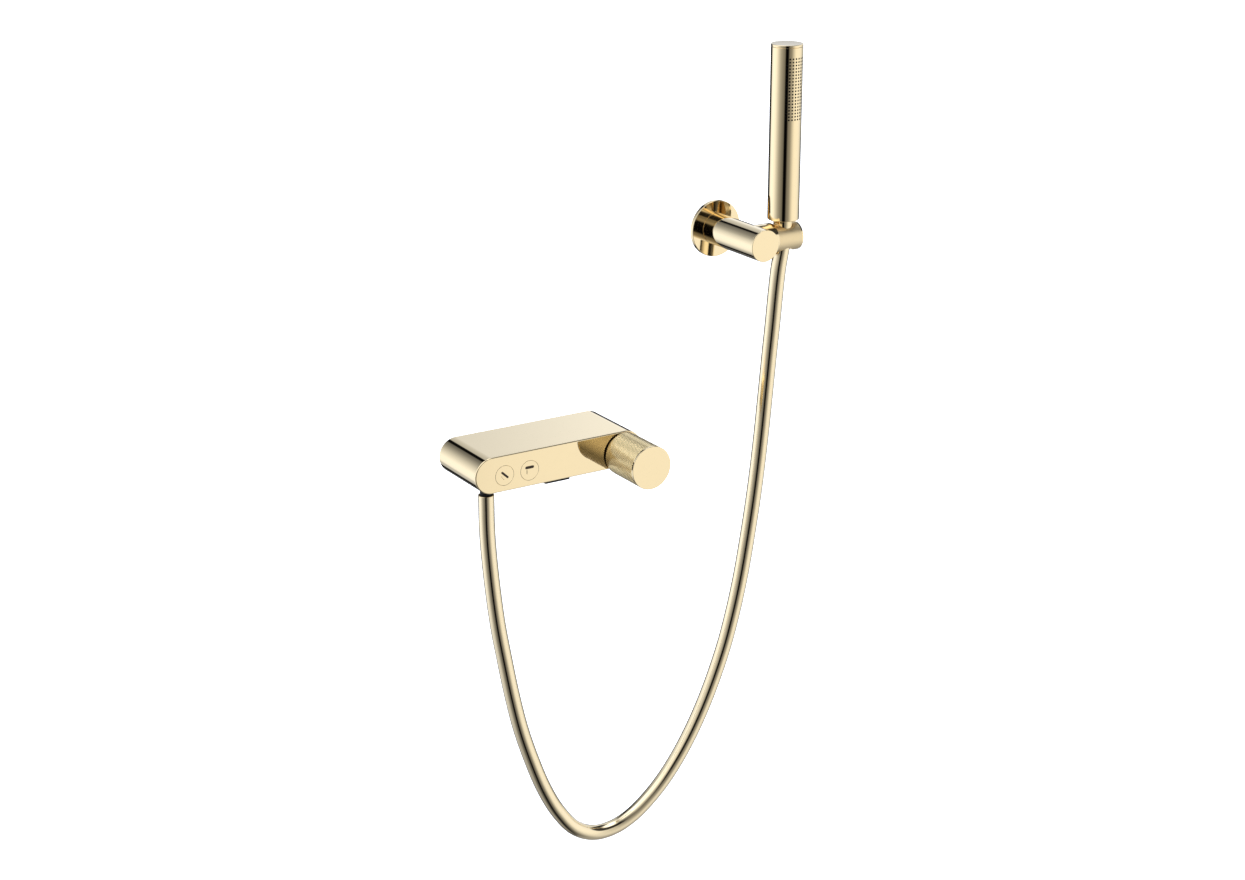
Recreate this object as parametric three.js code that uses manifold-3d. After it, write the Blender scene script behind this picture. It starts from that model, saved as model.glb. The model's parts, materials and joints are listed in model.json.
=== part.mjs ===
// Wall-mounted bath and shower mixer set: a stadium-section shelf mixer with two push buttons and a
// knurled temperature knob, a spout outlet under the body, a smooth hose, a stick handset and a round
// wall bracket with a tilting holder.
//
// Millimetres. X runs right along the wall, Y into the wall, Z up. The finished wall is the plane Y = 0
// and the origin is the middle of the mixer's back face.
import * as THREE from 'three';
import { mergeVertices } from 'three/addons/utils/BufferGeometryUtils.js';
import Module from 'manifold-3d';

const wasm = await Module();
wasm.setup();

// ---------------------------------------------------------------- driving dimensions
const GAP = 0.3; // clearance kept between pieces that touch

const BODY_WIDTH = 190;
const BODY_HEIGHT = 37;
const BODY_DEPTH = 75.4; // wall to the front face
const SHELL_WALL = 2.4;
const PANEL_THICK = 2.8;
const BACK_PLATE_THICK = 4;
const INLET_SPACING = 150; // standard distance between the hot and cold supplies

const KNOB_X = 73.8;
const KNOB_Z = -4.3;
const KNOB_R = 22.3;
const KNOB_LENGTH = 51.3;
const KNOB_GAP = 1.6; // visible gap between the knob and the front panel
const SPINDLE_R = 4;

const BUTTON_R = 10.1;
const BUTTON_Z = -2;
const SHOWER_BUTTON_X = -62.7;
const SPOUT_BUTTON_X = -34.6;
const BUTTON_THICK = 3.5;

const SPOUT_X = 1.6; // middle of the spout outlet
const SPOUT_WIDTH = 29;
const SPOUT_DEPTH = 9;
const SPOUT_Y = -63.5;
const SPOUT_DROP = 4.7; // how far it stands below the body

const HOSE_R = 8.1;
const OUTLET_X = -67.8;
const OUTLET_Y = -46;
const OUTLET_DROP = 11.7; // black neck between the body and the hose
const FERRULE_LENGTH = 20;

const BRACKET_X = 232.1;
const BRACKET_Z = 191.5;
const ROSETTE_R = 29.6;
const ROSETTE_THICK = 4.5;
const ARM_R = 16.4;
const ARM_END_Y = -92.1;
const HOLDER_R = 14.6;
const HOLDER_Y = -69.4;
const HOLDER_END_X = 286;

const HANDSET_X = 269.7;
const HANDSET_R = 16.2;
const HANDSET_BOTTOM_Z = 210.5;
const HANDSET_TOP_Z = 389.1;
const NUT_BOTTOM_Z = 187.6;

// The hose hangs free from the neck under the mixer to the nut under the handset.
const HOSE_ROUTE = [
  [-67.8, -46.0, -50.5],
  [-67.8, -46.0, -55],
  [-67.3, -46.1, -75],
  [-65.7, -46.2, -100],
  [-62.2, -46.5, -138],
  [-57.6, -46.8, -175],
  [-51.2, -47.3, -213],
  [-43.6, -47.8, -254],
  [-34.5, -48.4, -294],
  [-22.5, -49.2, -333],
  [-8.6, -50.2, -370],
  [7.5, -51.3, -401],
  [27.5, -52.7, -426],
  [50, -54.3, -437.5],
  [74, -55.9, -437],
  [96, -57.4, -428],
  [116, -58.8, -413],
  [134, -60, -395],
  [152, -61.2, -371.5],
  [168.5, -62.4, -344.5],
  [184, -63.5, -313.5],
  [197.5, -64.4, -281],
  [209, -65.2, -248],
  [219, -65.9, -211],
  [227.5, -66.5, -172],
  [234.4, -66.9, -132],
  [240.4, -67.4, -92],
  [245.2, -67.7, -54],
  [249.4, -68, -14],
  [253, -68.3, 26],
  [256.6, -68.5, 66],
  [259.8, -68.8, 100],
  [262.9, -69, 136],
  [265.5, -69.2, 160],
  [268.0, -69.3, 174],
  [269.7, -69.4, 183.5],
  [269.7, -69.4, 187.3],
];
const HOSE_JOINT = 30; // the route point at which the lower stretch of hose meets the upper one

// ---------------------------------------------------------------- materials
function finish(color, roughness, metalness) {
  return new THREE.MeshStandardMaterial({ color, roughness, metalness });
}

const POLISHED_GOLD = finish(0xe3c795, 0.06, 1);
const SATIN_GOLD = finish(0xdcc294, 0.25, 1);
const HOSE_GOLD = finish(0xd9c296, 0.18, 1);
const BRASS = finish(0xb08d4c, 0.4, 1);
const STEEL = finish(0xb9bcbf, 0.3, 1);
const BLACK_PLASTIC = finish(0x0d0d0d, 0.45, 0);
const WHITE_PLASTIC = finish(0xe6e4de, 0.5, 0);
const RUBBER = finish(0x1a1a1a, 0.8, 0);

// ---------------------------------------------------------------- geometry helpers
const group = new THREE.Group();

function piece(name, geometry, material) {
  const mesh = new THREE.Mesh(geometry, material);
  mesh.name = name;
  group.add(mesh);
  return mesh;
}

// Only positions are kept, equal corners are merged and triangles without area are dropped.
function closed(geometry) {
  const bare = geometry.index ? geometry.toNonIndexed() : geometry.clone();
  bare.deleteAttribute('normal');
  bare.deleteAttribute('uv');
  const merged = mergeVertices(bare, 1e-4);
  const old = merged.index.array;
  const kept = [];
  for (let i = 0; i < old.length; i += 3) {
    const [a, b, c] = [old[i], old[i + 1], old[i + 2]];
    if (a !== b && b !== c && c !== a) kept.push(a, b, c);
  }
  merged.setIndex(kept);
  return merged;
}

function toSolid(geometry) {
  const mesh = closed(geometry);
  const vertProperties = new Float32Array(mesh.attributes.position.array);
  const triVerts = new Uint32Array(mesh.index.array);
  return new wasm.Manifold(new wasm.Mesh({ numProp: 3, vertProperties, triVerts }));
}

function toGeometry(solid) {
  const mesh = solid.getMesh();
  const geometry = new THREE.BufferGeometry();
  geometry.setAttribute('position', new THREE.BufferAttribute(new Float32Array(mesh.vertProperties), 3));
  geometry.setIndex(Array.from(mesh.triVerts));
  return geometry;
}

function cut(geometry, ...tools) {
  const solid = tools.reduce((rest, tool) => rest.subtract(toSolid(tool)), toSolid(geometry));
  return toGeometry(solid);
}

function join(...geometries) {
  return toGeometry(geometries.map(toSolid).reduce((sum, next) => sum.add(next)));
}

// Sides of a circle whose flats stay within FLATNESS of the true round.
const FLATNESS = 0.15;
const sidesFor = (radius) => 4 * Math.ceil(Math.PI / Math.acos(1 - FLATNESS / radius) / 4);

// A closed profile of [radius, height] pairs is turned about Y, then laid along the wanted axis.
function turned(axis, profile) {
  const area = profile.reduce((sum, [r, h], i) => {
    const [nextR, nextH] = profile[(i + 1) % profile.length];
    return sum + r * nextH - nextR * h;
  }, 0);
  const ordered = area > 0 ? [...profile] : [...profile].reverse();
  const points = [...ordered, ordered[0]].map(([r, h]) => new THREE.Vector2(r, h));
  const widest = Math.max(...profile.map(([r]) => r));
  const geometry = closed(new THREE.LatheGeometry(points, sidesFor(widest)));
  if (axis === 'z') geometry.rotateX(Math.PI / 2);
  if (axis === 'x') geometry.rotateZ(-Math.PI / 2);
  return geometry;
}

// A plain cylinder or ring from one height to another along an axis, moved to its centre line.
function ring(axis, inner, outer, from, to, centre) {
  return turned(axis, [[inner, from], [outer, from], [outer, to], [inner, to]]).translate(...centre);
}

function rod(axis, radius, from, to, centre) {
  return ring(axis, 0, radius, from, to, centre);
}

function block(x0, x1, y0, y1, z0, z1) {
  const geometry = new THREE.BoxGeometry(x1 - x0, y1 - y0, z1 - z0);
  return geometry.translate((x0 + x1) / 2, (y0 + y1) / 2, (z0 + z1) / 2);
}

// Stadium outline in the X-Z plane, used for the body's section.
function stadium(width, height) {
  const r = height / 2;
  const straight = width / 2 - r;
  const shape = new THREE.Shape();
  shape.absarc(straight, 0, r, -Math.PI / 2, Math.PI / 2, false);
  shape.absarc(-straight, 0, r, Math.PI / 2, 1.5 * Math.PI, false);
  shape.closePath();
  return shape;
}

function roundHole(x, z, r) {
  const path = new THREE.Path();
  path.absarc(x, z, r, 0, 2 * Math.PI, true);
  return path;
}

// An outline drawn in X-Z is extruded along Y, from frontY back to backY.
function extrudeAlongY(shape, frontY, backY, curveSegments = 8) {
  const depth = backY - frontY;
  const geometry = new THREE.ExtrudeGeometry(shape, { depth, bevelEnabled: false, curveSegments });
  return closed(geometry.rotateX(Math.PI / 2).translate(0, backY, 0));
}

const KNOB_AXIS = [KNOB_X, 0, KNOB_Z];
const SHOWER_AXIS = [SHOWER_BUTTON_X, 0, BUTTON_Z];
const SPOUT_AXIS = [SPOUT_BUTTON_X, 0, BUTTON_Z];
const OUTLET_AXIS = [OUTLET_X, OUTLET_Y, 0];
const BRACKET_AXIS = [BRACKET_X, 0, BRACKET_Z];
const TILT_AXIS = [0, HOLDER_Y, BRACKET_Z];
const HANDSET_AXIS = [HANDSET_X, HOLDER_Y, 0];

const UNDERSIDE = -BODY_HEIGHT / 2;
const FRONT = -BODY_DEPTH;
const PANEL_BACK = FRONT + PANEL_THICK;

// ---------------------------------------------------------------- mixer casing
const INNER_WIDTH = BODY_WIDTH - 2 * SHELL_WALL;
const INNER_HEIGHT = BODY_HEIGHT - 2 * SHELL_WALL;
const SHELL_SCREW_X = 50;
const SHELL_SCREW_Y = -9;
const SHELL_SCREW_R = 2.3;
const UNION_R = 12.6;
const UNION_BORE_R = 7.5;
const MANIFOLD_SCREW_X = 50;
const MANIFOLD_SHANK_R = 2.4;
const MANIFOLD_HEAD_R = 4.6;
const HEAD_SEAT_Y = -2.3; // underside of the manifold screws' heads
const MANIFOLD_SCREW_END_Y = -13;
const KNOB_HOLE_R = 9;
const NECK_R = 6.2;

function mixerCasing() {
  const below = UNDERSIDE - 1;
  const above = UNDERSIDE + SHELL_WALL + 1;
  const shellOutline = stadium(BODY_WIDTH, BODY_HEIGHT);
  shellOutline.holes.push(stadium(INNER_WIDTH, INNER_HEIGHT));
  const shell = cut(
    extrudeAlongY(shellOutline, PANEL_BACK + GAP, 0),
    rod('z', NECK_R + GAP, below, above, OUTLET_AXIS),
    block(
      SPOUT_X - SPOUT_WIDTH / 2 - GAP, SPOUT_X + SPOUT_WIDTH / 2 + GAP,
      SPOUT_Y - SPOUT_DEPTH / 2 - GAP, SPOUT_Y + SPOUT_DEPTH / 2 + GAP,
      below, above,
    ),
    rod('z', SHELL_SCREW_R + GAP, below, above, [-SHELL_SCREW_X, SHELL_SCREW_Y, 0]),
    rod('z', SHELL_SCREW_R + GAP, below, above, [SHELL_SCREW_X, SHELL_SCREW_Y, 0]),
  );
  piece('body_shell', shell, POLISHED_GOLD);

  const panelOutline = stadium(BODY_WIDTH, BODY_HEIGHT);
  panelOutline.holes.push(roundHole(KNOB_X, KNOB_Z, KNOB_HOLE_R));
  for (const x of [SHOWER_BUTTON_X, SPOUT_BUTTON_X]) {
    panelOutline.holes.push(roundHole(x, BUTTON_Z, BUTTON_R + GAP));
  }
  piece('front_panel', extrudeAlongY(panelOutline, FRONT, PANEL_BACK), POLISHED_GOLD);

  const plateOutline = stadium(INNER_WIDTH - 2 * GAP, INNER_HEIGHT - 2 * GAP);
  for (const x of [-INLET_SPACING / 2, INLET_SPACING / 2]) {
    plateOutline.holes.push(roundHole(x, 0, UNION_R + GAP));
  }
  const screwSeats = [-MANIFOLD_SCREW_X, MANIFOLD_SCREW_X].flatMap((x) => [
    rod('y', MANIFOLD_SHANK_R + GAP, -BACK_PLATE_THICK - 1, 1, [x, 0, 0]),
    rod('y', MANIFOLD_HEAD_R + GAP, HEAD_SEAT_Y - GAP, 1, [x, 0, 0]),
  ]);
  const plate = extrudeAlongY(plateOutline, -BACK_PLATE_THICK, 0);
  piece('back_plate', cut(plate, ...screwSeats), STEEL);

  const screw = [
    [0, MANIFOLD_SCREW_END_Y], [MANIFOLD_SHANK_R, MANIFOLD_SCREW_END_Y], [MANIFOLD_SHANK_R, HEAD_SEAT_Y],
    [MANIFOLD_HEAD_R, HEAD_SEAT_Y], [MANIFOLD_HEAD_R, -0.3], [1.6, -0.3], [1.6, -1.5], [0, -1.5],
  ];
  for (const [side, x] of [['left', -MANIFOLD_SCREW_X], ['right', MANIFOLD_SCREW_X]]) {
    piece(`manifold_screw_${side}`, turned('y', screw).translate(x, 0, 0), STEEL);
  }
  const grubBottom = UNDERSIDE + 0.4;
  for (const [side, x] of [['left', -SHELL_SCREW_X], ['right', SHELL_SCREW_X]]) {
    const grub = rod('z', SHELL_SCREW_R, grubBottom, grubBottom + 5.2, [x, SHELL_SCREW_Y, 0]);
    const socket = rod('z', 1.2, UNDERSIDE, grubBottom + 2, [x, SHELL_SCREW_Y, 0]);
    piece(`shell_grub_screw_${side}`, cut(grub, socket), STEEL);
  }
}

// ---------------------------------------------------------------- water ways behind the panel
const MANIFOLD_TOP = 12;
const CARTRIDGE_SEAT_Y = -30;
const VALVE_SEAT_Y = -52;
const GALLERY_Y = -22;
const GALLERY_R = 4;
const MANIFOLD_END_X = 86;
const INLET_FACE_Y = -12; // front end of the inlet unions
const WATERWAY_R = 3.5;
const INLET_BORE_R = 7;
const CARTRIDGE_SHANK_R = 7.4;
const CARTRIDGE_BORE_BOTTOM_Y = -20;
const VALVE_R = 6.2;
const VALVE_BORE_BOTTOM_Y = -24;
const SPOUT_WATERWAY_Y = -46;
const SPOUT_SLOT_HALF_WIDTH = 11.5;
const SPOUT_SLOT_HALF_DEPTH = 3;
const FORMER_PITCH = 3.6; // between two of the six slots that straighten the spout's water
const PLUG_SOCKET_R = 1.8;
const FILTER_R = 3.6;

// The slot that the spout's water falls through, made smaller by the inset.
function spoutSlot(inset, bottom, top) {
  const x = SPOUT_SLOT_HALF_WIDTH - inset;
  const depth = SPOUT_SLOT_HALF_DEPTH - inset;
  return block(SPOUT_X - x, SPOUT_X + x, SPOUT_Y - depth, SPOUT_Y + depth, bottom, top);
}

function waterWays() {
  const outline = new THREE.Shape();
  const back = -BACK_PLATE_THICK - GAP;
  const inletBack = INLET_FACE_Y - GAP;
  const noseFront = PANEL_BACK + 2.1;
  const corners = [
    [-60, back], [60, back], [60, inletBack], [MANIFOLD_END_X, inletBack], [MANIFOLD_END_X, CARTRIDGE_SEAT_Y],
    [54, CARTRIDGE_SEAT_Y], [54, VALVE_SEAT_Y], [17, VALVE_SEAT_Y], [17, noseFront], [-17, noseFront],
    [-17, VALVE_SEAT_Y], [-MANIFOLD_END_X, VALVE_SEAT_Y], [-MANIFOLD_END_X, inletBack], [-60, inletBack],
  ];
  corners.forEach(([x, y], i) => (i ? outline.lineTo(x, y) : outline.moveTo(x, y)));
  outline.closePath();
  const casting = new THREE.ExtrudeGeometry(outline, { depth: 2 * MANIFOLD_TOP, bevelEnabled: false });
  casting.translate(0, 0, -MANIFOLD_TOP);
  const half = INLET_SPACING / 2;
  const bores = [
    rod('y', INLET_BORE_R, GALLERY_Y, INLET_FACE_Y, [-half, 0, 0]),
    rod('y', INLET_BORE_R, GALLERY_Y, INLET_FACE_Y, [half, 0, 0]),
    rod('y', CARTRIDGE_SHANK_R + 0.4, CARTRIDGE_SEAT_Y - 1, CARTRIDGE_BORE_BOTTOM_Y, KNOB_AXIS),
    rod('x', GALLERY_R, -MANIFOLD_END_X - 1, half, [0, GALLERY_Y, 0]),
    rod('y', VALVE_R + GAP, VALVE_SEAT_Y - 1, VALVE_BORE_BOTTOM_Y, SHOWER_AXIS),
    rod('y', VALVE_R + GAP, VALVE_SEAT_Y - 1, VALVE_BORE_BOTTOM_Y, SPOUT_AXIS),
    rod('z', WATERWAY_R, -MANIFOLD_TOP - 1, 0, OUTLET_AXIS),
    rod('x', WATERWAY_R, SPOUT_BUTTON_X, SPOUT_X, [0, SPOUT_WATERWAY_Y, 0]),
    rod('y', WATERWAY_R, SPOUT_Y - SPOUT_SLOT_HALF_DEPTH, SPOUT_WATERWAY_Y, [SPOUT_X, 0, 0]),
    spoutSlot(0, -MANIFOLD_TOP - 1, 0),
    rod('y', MANIFOLD_SHANK_R + GAP, MANIFOLD_SCREW_END_Y - 1, back, [-MANIFOLD_SCREW_X, 0, 0]),
    rod('y', MANIFOLD_SHANK_R + GAP, MANIFOLD_SCREW_END_Y - 1, back, [MANIFOLD_SCREW_X, 0, 0]),
  ];
  piece('valve_manifold', cut(casting, ...bores), BRASS);

  const plug = rod('x', GALLERY_R - GAP, -MANIFOLD_END_X, -MANIFOLD_END_X + 7, [0, GALLERY_Y, 0]);
  const plugSocket = rod('x', PLUG_SOCKET_R, -MANIFOLD_END_X - 1, -MANIFOLD_END_X + 3, [0, GALLERY_Y, 0]);
  piece('gallery_plug', cut(plug, plugSocket), BRASS);

  for (const [supply, x] of [['hot', -half], ['cold', half]]) {
    const union = ring('y', UNION_BORE_R, UNION_R, INLET_FACE_Y, 0, [x, 0, 0]);
    piece(`inlet_union_${supply}`, union, BRASS);
    const filter = ring('y', FILTER_R, UNION_BORE_R - GAP, -3.4, -1.4, [x, 0, 0]);
    piece(`inlet_filter_${supply}`, filter, STEEL);
  }

  const spoutBox = block(
    SPOUT_X - SPOUT_WIDTH / 2, SPOUT_X + SPOUT_WIDTH / 2,
    SPOUT_Y - SPOUT_DEPTH / 2, SPOUT_Y + SPOUT_DEPTH / 2,
    UNDERSIDE - SPOUT_DROP, -MANIFOLD_TOP - GAP,
  );
  piece('spout_outlet', cut(spoutBox, spoutSlot(0, UNDERSIDE - SPOUT_DROP - 1, 0)), BLACK_PLASTIC);
  const former = spoutSlot(GAP, UNDERSIDE - SPOUT_DROP + 2, UNDERSIDE + 2);
  const formerSlots = [];
  for (let step = -2.5; step < 3; step += 1) {
    const x = SPOUT_X + step * FORMER_PITCH;
    formerSlots.push(block(x - 1.2, x + 1.2, SPOUT_Y - 1.8, SPOUT_Y + 1.8, UNDERSIDE - 5, UNDERSIDE + 5));
  }
  piece('spout_flow_former', cut(former, ...formerSlots), BLACK_PLASTIC);
}

// ---------------------------------------------------------------- push buttons and their valves
const VALVE_FLANGE_FRONT = -58;
const VALVE_BACK = -29;
const BOSS_R = 3.4; // boss behind a button that the stem pushes on
const STEM_R = 2.4;
const SPRING_R = 5.2;
const SPRING_WIRE_R = 0.45;
const SPRING_TURNS = 4;

class CoilCurve extends THREE.Curve {
  constructor(x, z, fromY, toY) {
    super();
    Object.assign(this, { x, z, fromY, toY });
  }

  getPoint(t, target = new THREE.Vector3()) {
    const angle = 2 * Math.PI * SPRING_TURNS * t;
    const y = this.fromY + (this.toY - this.fromY) * t;
    return target.set(this.x + SPRING_R * Math.cos(angle), y, this.z + SPRING_R * Math.sin(angle));
  }
}

function circleShape(radius, sides) {
  const shape = new THREE.Shape();
  for (let i = 0; i < sides; i += 1) {
    const a = (2 * Math.PI * i) / sides;
    if (i === 0) shape.moveTo(radius, 0);
    else shape.lineTo(radius * Math.cos(a), radius * Math.sin(a));
  }
  shape.closePath();
  return shape;
}

function pushButton(name, axis) {
  const capBack = FRONT + BUTTON_THICK;
  const bossBack = capBack + 4;
  const cap = [
    [0, FRONT], [BUTTON_R, FRONT], [BUTTON_R, capBack], [BOSS_R, capBack], [BOSS_R, bossBack], [0, bossBack],
  ];
  piece(`${name}_button_cap`, turned('y', cap).translate(...axis), POLISHED_GOLD);
  piece(`${name}_button_stem`, rod('y', STEM_R, bossBack + GAP, -40, axis), WHITE_PLASTIC);

  const flangeBack = VALVE_SEAT_Y - GAP;
  const valve = [
    [STEM_R + GAP, VALVE_FLANGE_FRONT], [8.6, VALVE_FLANGE_FRONT], [8.6, flangeBack], [VALVE_R, flangeBack],
    [VALVE_R, VALVE_BACK], [0, VALVE_BACK], [0, VALVE_BACK - 4], [STEM_R + GAP, VALVE_BACK - 4],
  ];
  piece(`${name}_valve`, turned('y', valve).translate(...axis), WHITE_PLASTIC);

  const clearance = SPRING_WIRE_R + GAP;
  const coil = new CoilCurve(axis[0], axis[2], capBack + clearance, VALVE_FLANGE_FRONT - clearance);
  const wire = new THREE.ExtrudeGeometry(circleShape(SPRING_WIRE_R, 5), {
    steps: SPRING_TURNS * 11, bevelEnabled: false, extrudePath: coil,
  });
  piece(`${name}_button_spring`, closed(wire), STEEL);
}

// ---------------------------------------------------------------- thermostatic cartridge and knob
const CARTRIDGE_R = 9.5;
const CARTRIDGE_FRONT = -68;
const SPINDLE_FRONT = -99;
const STOP_RING_Y = [-71.8, -68.4]; // front and back of the temperature stop ring
const KNOB_BACK = FRONT - KNOB_GAP;
const KNOB_FRONT = KNOB_BACK - KNOB_LENGTH;
const KNOB_WALL = 2.8;
const CAP_THICK = 1.8;

function cartridge() {
  const seat = CARTRIDGE_SEAT_Y - GAP;
  const housing = [
    [4.4, CARTRIDGE_FRONT], [CARTRIDGE_R, CARTRIDGE_FRONT], [CARTRIDGE_R, seat], [CARTRIDGE_SHANK_R, seat],
    [CARTRIDGE_SHANK_R, -23], [2.5, -23], [2.5, -32], [7, -32], [7, CARTRIDGE_FRONT + 3],
    [4.4, CARTRIDGE_FRONT + 3],
  ];
  piece('thermostatic_cartridge', turned('y', housing).translate(...KNOB_AXIS), WHITE_PLASTIC);
  const nut = ring('y', CARTRIDGE_R + GAP, 11.5, seat - 7.7, seat, KNOB_AXIS);
  piece('cartridge_ring_nut', nut, BRASS);
  const element = [[0, -55], [3, -55], [3, -47], [6.6, -47], [6.6, -44.5], [4, -44.5], [4, -35], [0, -35]];
  piece('thermo_element', turned('y', element).translate(...KNOB_AXIS), BRASS);
  const spindle = [
    [0, SPINDLE_FRONT], [SPINDLE_R - 0.8, SPINDLE_FRONT], [SPINDLE_R, SPINDLE_FRONT + 1], [SPINDLE_R, -62],
    [3, -62], [3, -56], [0, -56],
  ];
  piece('cartridge_spindle', turned('y', spindle).translate(...KNOB_AXIS), BRASS);
  const stopRing = join(
    ring('y', SPINDLE_R + GAP, 7.4, ...STOP_RING_Y, KNOB_AXIS),
    block(KNOB_X - 1.6, KNOB_X + 1.6, ...STOP_RING_Y, KNOB_Z + 6, KNOB_Z + 10),
  );
  piece('temperature_stop_ring', stopRing, WHITE_PLASTIC);
}

function knob() {
  const capBack = KNOB_FRONT + CAP_THICK;
  const sleeve = ring('y', KNOB_R - KNOB_WALL, KNOB_R, capBack + GAP, KNOB_BACK, KNOB_AXIS);
  piece('knob_sleeve', sleeve, SATIN_GOLD);
  const plugR = KNOB_R - KNOB_WALL - GAP;
  const cap = [
    [0, KNOB_FRONT], [KNOB_R - 0.5, KNOB_FRONT], [KNOB_R, KNOB_FRONT + 0.5], [KNOB_R, capBack],
    [plugR, capBack], [plugR, capBack + 3], [0, capBack + 3],
  ];
  piece('knob_end_cap', turned('y', cap).translate(...KNOB_AXIS), POLISHED_GOLD);
  const bore = SPINDLE_R + GAP;
  const hubR = 8.5;
  const carrier = [
    [bore, SPINDLE_FRONT - 2], [hubR, SPINDLE_FRONT - 2], [hubR, KNOB_BACK - 6.5], [plugR, KNOB_BACK - 6.5],
    [plugR, KNOB_BACK - 1.6], [bore, KNOB_BACK - 1.6],
  ];
  const screwPlace = [KNOB_X, SPINDLE_FRONT + 7, KNOB_Z];
  const screwHole = rod('z', 1.7, -hubR - 0.5, -SPINDLE_R + 1, screwPlace);
  piece('knob_carrier', cut(turned('y', carrier).translate(...KNOB_AXIS), screwHole), BLACK_PLASTIC);
  piece('knob_grub_screw', rod('z', 1.4, -hubR + 0.3, -bore, screwPlace), STEEL);
}

// ---------------------------------------------------------------- hose and its ends
const NUT_BOTTOM_R = 9;
const NUT_TOP_R = 10.1;
const TAIL_R = 8; // threaded tail of the handset, which the nut screws onto
const TAIL_BOTTOM_Z = 194.3;

function hoseStretch(name, points, steps) {
  const places = points.map((point) => new THREE.Vector3(...point));
  const path = new THREE.CatmullRomCurve3(places, false, 'centripetal');
  const section = circleShape(HOSE_R, 10);
  const tube = new THREE.ExtrudeGeometry(section, { steps, bevelEnabled: false, extrudePath: path });
  piece(name, closed(tube), HOSE_GOLD);
}

function hose() {
  const neckBottom = UNDERSIDE - OUTLET_DROP;
  const nippleEnd = neckBottom - 13;
  const flangeTop = -MANIFOLD_TOP - GAP;
  const flangeBottom = flangeTop - 2.3;
  const nipple = [
    [3.3, flangeTop], [8, flangeTop], [8, flangeBottom], [NECK_R, flangeBottom],
    [NECK_R, nippleEnd], [3.3, nippleEnd],
  ];
  piece('hose_outlet_nipple', turned('z', nipple).translate(...OUTLET_AXIS), BLACK_PLASTIC);
  piece('check_valve', ring('z', 1.4, 3, -26, -19, OUTLET_AXIS), WHITE_PLASTIC);
  const ferrule = ring('z', NECK_R + GAP, HOSE_R, neckBottom - FERRULE_LENGTH, neckBottom, OUTLET_AXIS);
  piece('hose_ferrule', ferrule, HOSE_GOLD);

  const [x, y, z] = HOSE_ROUTE[HOSE_JOINT];
  hoseStretch('shower_hose_lower', HOSE_ROUTE.slice(0, HOSE_JOINT + 1), 46);
  hoseStretch('shower_hose_upper', [[x, y, z + GAP], ...HOSE_ROUTE.slice(HOSE_JOINT + 1)], 10);

  const nutTop = HANDSET_BOTTOM_Z - GAP;
  const nut = [
    [5, NUT_BOTTOM_Z], [NUT_BOTTOM_R, NUT_BOTTOM_Z], [NUT_TOP_R, nutTop], [TAIL_R + GAP, nutTop],
    [TAIL_R + GAP, NUT_BOTTOM_Z + 4], [5, NUT_BOTTOM_Z + 4],
  ];
  piece('hose_cone_nut', turned('z', nut).translate(...HANDSET_AXIS), POLISHED_GOLD);
  piece('hose_washer', ring('z', 4.4, TAIL_R, NUT_BOTTOM_Z + 4.4, TAIL_BOTTOM_Z - GAP, HANDSET_AXIS), RUBBER);
}

// ---------------------------------------------------------------- stick handset
const HANDSET_WALL = 1.8;
const HANDSET_CAP_THICK = 2.5;
const SPRAY_INSERT_Z = [304, 374]; // bottom and top of the rubber behind the spray holes

function handset() {
  const capBottom = HANDSET_TOP_Z - HANDSET_CAP_THICK;
  const bore = HANDSET_R - HANDSET_WALL;
  const hole = TAIL_R + 0.4;
  const floorTop = HANDSET_BOTTOM_Z + 4;
  const body = [
    [hole, HANDSET_BOTTOM_Z], [HANDSET_R - 0.8, HANDSET_BOTTOM_Z], [HANDSET_R, HANDSET_BOTTOM_Z + 0.8],
    [HANDSET_R, capBottom - GAP], [bore, capBottom - GAP], [bore, floorTop], [hole, floorTop],
  ];
  piece('handset_body', turned('z', body).translate(...HANDSET_AXIS), POLISHED_GOLD);
  const cap = [
    [0, capBottom - 5], [bore - GAP, capBottom - 5], [bore - GAP, capBottom], [HANDSET_R, capBottom],
    [HANDSET_R, HANDSET_TOP_Z - 0.4], [HANDSET_R - 0.4, HANDSET_TOP_Z], [0, HANDSET_TOP_Z],
  ];
  piece('handset_top_cap', turned('z', cap).translate(...HANDSET_AXIS), POLISHED_GOLD);
  const [insertBottom, insertTop] = SPRAY_INSERT_Z;
  const insert = ring('z', bore - GAP - 3.3, bore - GAP, insertBottom, insertTop, HANDSET_AXIS);
  const insertBack = block(
    HANDSET_X - HANDSET_R, HANDSET_X + HANDSET_R, HOLDER_Y - 2, HOLDER_Y + HANDSET_R,
    insertBottom - 1, insertTop + 1,
  );
  piece('spray_insert', cut(insert, insertBack), RUBBER);
  const flangeBottom = floorTop + GAP;
  const tail = [
    [4, TAIL_BOTTOM_Z], [TAIL_R, TAIL_BOTTOM_Z], [TAIL_R, flangeBottom], [12, flangeBottom],
    [12, flangeBottom + 3.7], [4, flangeBottom + 3.7],
  ];
  piece('handset_tail', turned('z', tail).translate(...HANDSET_AXIS), BRASS);
  piece('flow_limiter', ring('z', 1.5, 3.7, 206, 210, HANDSET_AXIS), WHITE_PLASTIC);
}

// ---------------------------------------------------------------- wall bracket and tilting holder
const SPIGOT_R = 10;
const SPIGOT_END_Y = -28;
const ARM_CAP_THICK = 2;
const ARM_PLUG_R = 12.1; // plug of the end cap, inside the arm
const STUB_END_X = 254.6;
const HOLDER_START_X = 255.9;
const PIVOT_R = 8;
const PIVOT_START_X = 245.5;
const PIVOT_SCREW_X = 249.2;
const ARM_SCREW_Y = -16;
const SMALL_SCREW_R = 1.9;
const SLOT_WIDTH = 17.8;

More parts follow.
